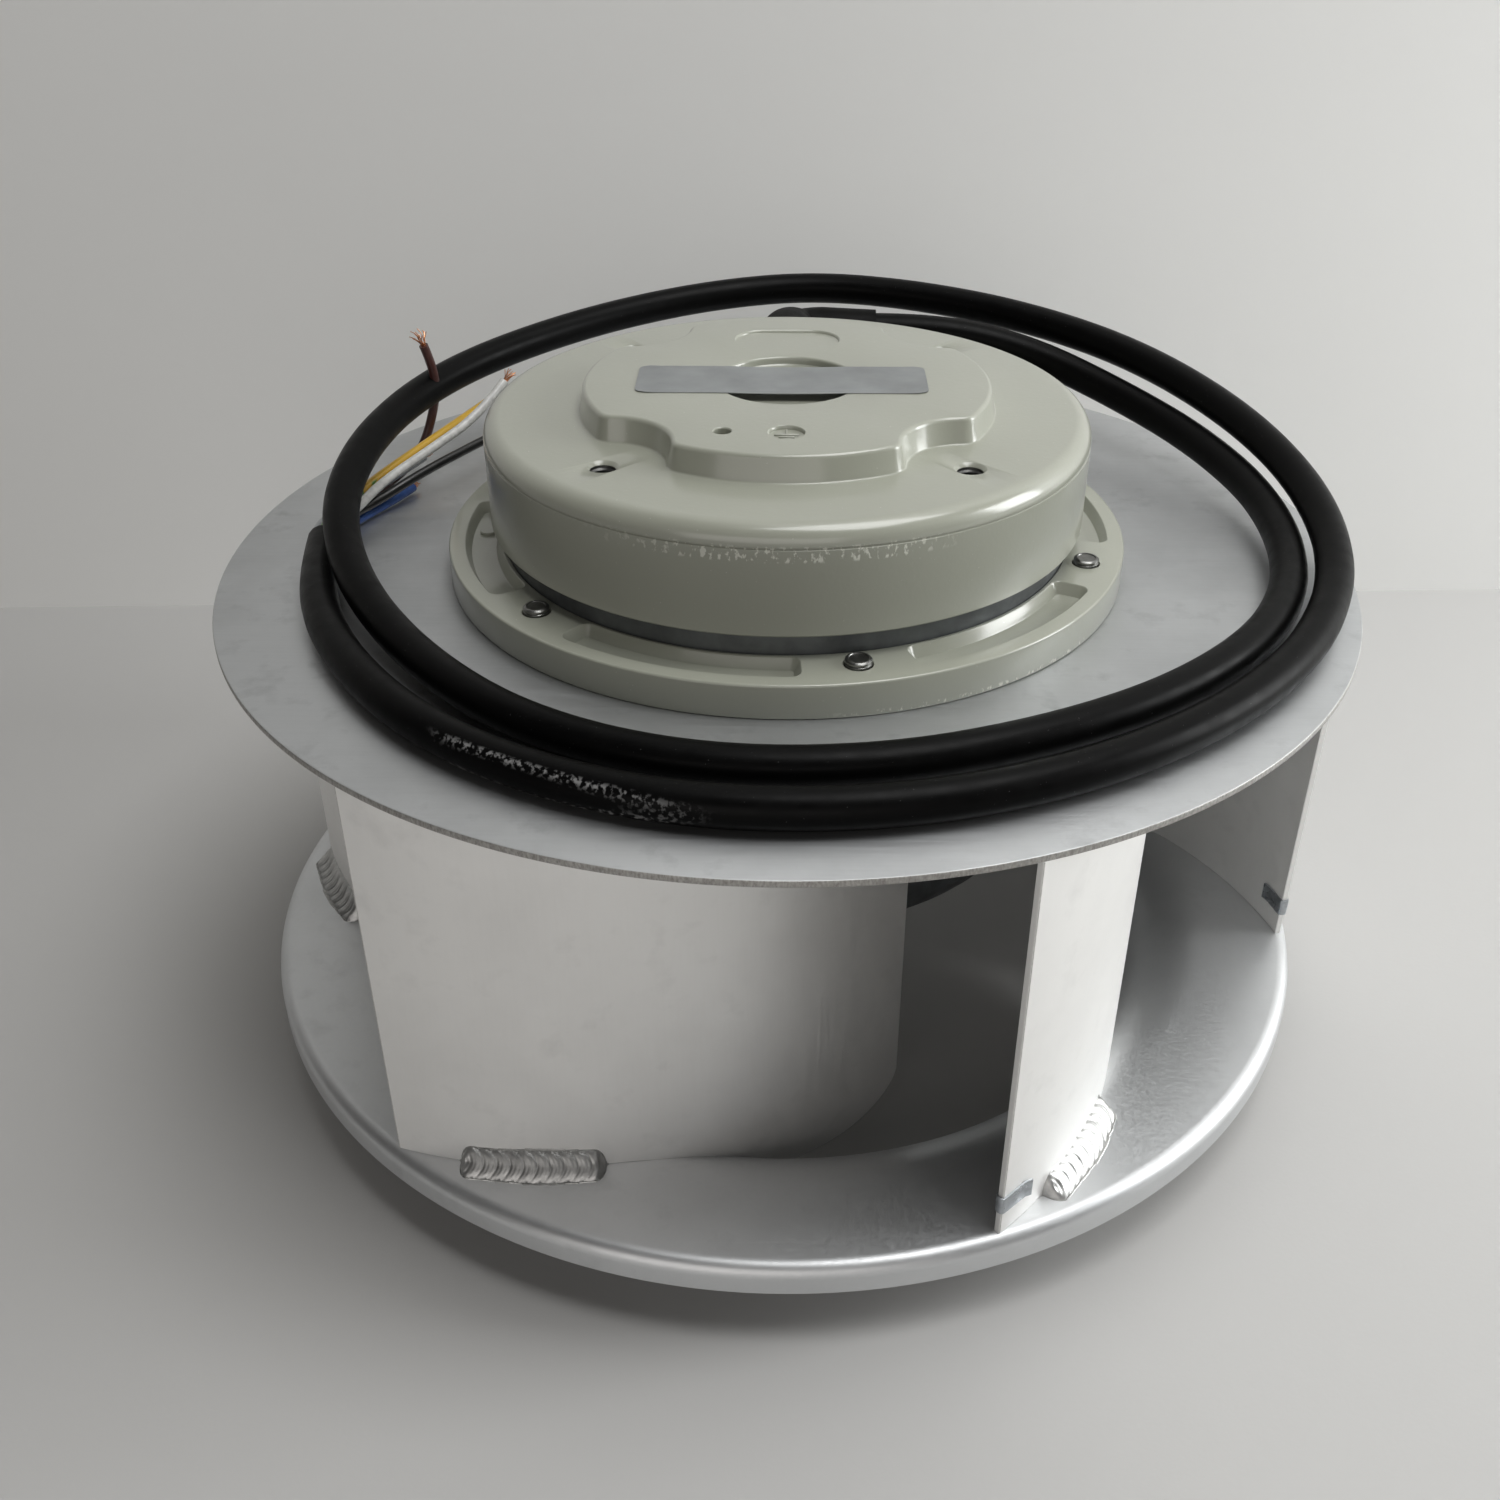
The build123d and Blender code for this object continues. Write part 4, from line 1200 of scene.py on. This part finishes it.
def bare_end(name, route, length, spray, seed):
    """Copper strands that leave a core's end, twisted first and spread at the tip."""
    rng = random.Random(seed)
    start = route[-1]
    way = (route[-1] - route[-2]).normalized()
    side = way.orthogonal().normalized()
    other = way.cross(side)
    strands = []
    for number in range(12):
        angle = number * 2.4
        ring = 0.55 * mm * math.sqrt((number + 0.5) / 12)
        lean = spray * rng.uniform(0.3, 1.0)
        reach = length * rng.uniform(0.75, 1.0)
        line = []
        for step in range(7):
            share = step / 6
            twist = angle + 1.6 * share
            out = ring + lean * share ** 2.2
            line.append(start + way * (reach * share - 1.0 * mm) + out * (side * math.cos(twist)
                                                                          + other * math.sin(twist)))
        strands.append(tube_piece("strand", line, [0.11 * mm] * 7, copper, 6))
    return joined(name, strands)


tips = {
    "core_brown": (5.5 * mm, 2.4 * mm, 3),
    "core_yellow_green": (5.0 * mm, 0.5 * mm, 5),
    "core_white": (5.0 * mm, 1.6 * mm, 6),
    "core_black": (4.0 * mm, 0.6 * mm, 7),
    "core_grey": (4.0 * mm, 0.9 * mm, 8),
    "core_blue": (4.0 * mm, 0.3 * mm, 9),
}
bare_ends = {name: bare_end(name + "_strands", cores[name][1], *facts) for name, facts in tips.items()}
stator_pieces += list(bare_ends.values())
print("gland and", len(bare_ends), "bare ends")

# %% [markdown]
# The inner parts stay as the model has them and take their finishes by slot, so that a view
# through the inlet, or one with the cover off, still shows steel, copper and brass tones.
# %% Finishes for the model's own pieces
node_finish = {
    "stator_bush": cast_metal, "bush_screws": zinc, "stator_laminations": core_steel, "stator_winding": copper,
    "thermal_contact": sleeve, "winding_leads": sleeve, "upper_outer_race": bearing_steel,
    "lower_outer_race": bearing_steel, "bearing_balls": bearing_steel, "wave_spring": spring_steel,
    "bore_circlip": spring_steel, "shaft": bearing_steel, "upper_inner_race": bearing_steel,
    "lower_inner_race": bearing_steel, "shaft_circlip": spring_steel, "rotor_laminations": core_steel,
    "rotor_cage": cast_metal, "flange_washers": zinc,
}
for name, look in node_finish.items():
    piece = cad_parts[name]
    for place in piece.material_slots:
        place.material = look
print("inner pieces dressed:", len(node_finish))

# %% [markdown]
# The set is a pale table against a pale wall, as in a plain studio. A window at the right and a
# skylight above it draw the soft shadows, to the left and down, and a weak light from the room
# in front fills the shaded sides. The bare metal shows what surrounds it, so the walls count.
# %% Set and light
wall_side = 1.6


def wall_place(side):
    """The wall stands a little askew behind the fan."""
    return 0.2296 + 0.0418 * side


floor_look = finish("table_top", (0.51, 0.505, 0.495), 0.6)
join(floor_look, bump(floor_look, noise(floor_look, 700, 3), 0.0001, 0.25), shader_of(floor_look).inputs["Normal"])
wall_look = finish("wall", (0.77, 0.77, 0.755), 0.8)
join(wall_look, bump(wall_look, noise(wall_look, 300, 3), 0.0001, 0.2), shader_of(wall_look).inputs["Normal"])
# Seen from behind, the wall is clear, so that the fan can be looked at from every side.
clear = node(wall_look, "ShaderNodeBsdfTransparent")
either = node(wall_look, "ShaderNodeMixShader")
join(wall_look, node(wall_look, "ShaderNodeNewGeometry").outputs["Backfacing"], either.inputs["Fac"])
join(wall_look, shader_of(wall_look).outputs["BSDF"], either.inputs[1])
join(wall_look, clear.outputs["BSDF"], either.inputs[2])
join(wall_look, either.outputs["Shader"], wall_look.node_tree.nodes["Material Output"].inputs["Surface"])
floor = mesh_piece("table", [(-wall_side, -1.4, 0), (wall_side, -1.4, 0), (wall_side, 1.4, 0), (-wall_side, 1.4, 0)],
                   [(0, 1, 2, 3)], floor_look)
backdrop = mesh_piece("backdrop", [(side, wall_place(side), height) for side, height in
                                   ((-wall_side, 0), (wall_side, 0), (wall_side, 1.6), (-wall_side, 1.6))],
                      [(3, 2, 1, 0)], wall_look)


def area_light(name, place, aim, size, power, colour):
    data = bpy.data.lights.new(name, "AREA")
    data.shape = "RECTANGLE"
    data.size, data.size_y = size
    data.energy = power
    data.color = colour
    lamp = bpy.data.objects.new(name, data)
    lamp.location = place
    lamp.rotation_euler = (Vector(aim) - Vector(place)).to_track_quat("-Z", "Y").to_euler()
    bpy.context.collection.objects.link(lamp)


area_light("window", (1.0, -0.03, 0.42), (0, 0, 0.1), (0.4, 0.6), 7.4, (0.985, 1.0, 1.0))
area_light("skylight", (0.32, -0.15, 1.3), (0, 0, 0.1), (0.7, 0.7), 9.0, (1.0, 1.0, 0.995))
area_light("room", (-0.2, -1.3, 0.4), (0, 0, 0.1), (1.4, 0.7), 3.7, (1.0, 0.96, 0.93))
world = bpy.data.worlds.new("room_light")
world.use_nodes = True
world.node_tree.nodes["Background"].inputs["Color"].default_value = (1.0, 0.97, 0.94, 1)
world.node_tree.nodes["Background"].inputs["Strength"].default_value = 0.04
bpy.context.scene.world = world
bpy.context.scene.view_settings.view_transform = "Standard"

# %% [markdown]
# Last, every piece rides on its body, so the impeller's pieces turn with it, and the cable and
# its cores ride on the stator in place of the model's own, which are hidden.
# %% Ride and finish
for piece in stator_pieces:
    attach(piece, "stator")
for piece in impeller_pieces:
    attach(piece, "impeller")
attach(jacket, "stator")
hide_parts("cable_jacket")
for name, (piece, route) in cores.items():
    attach(piece, "stator")
    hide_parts(name)
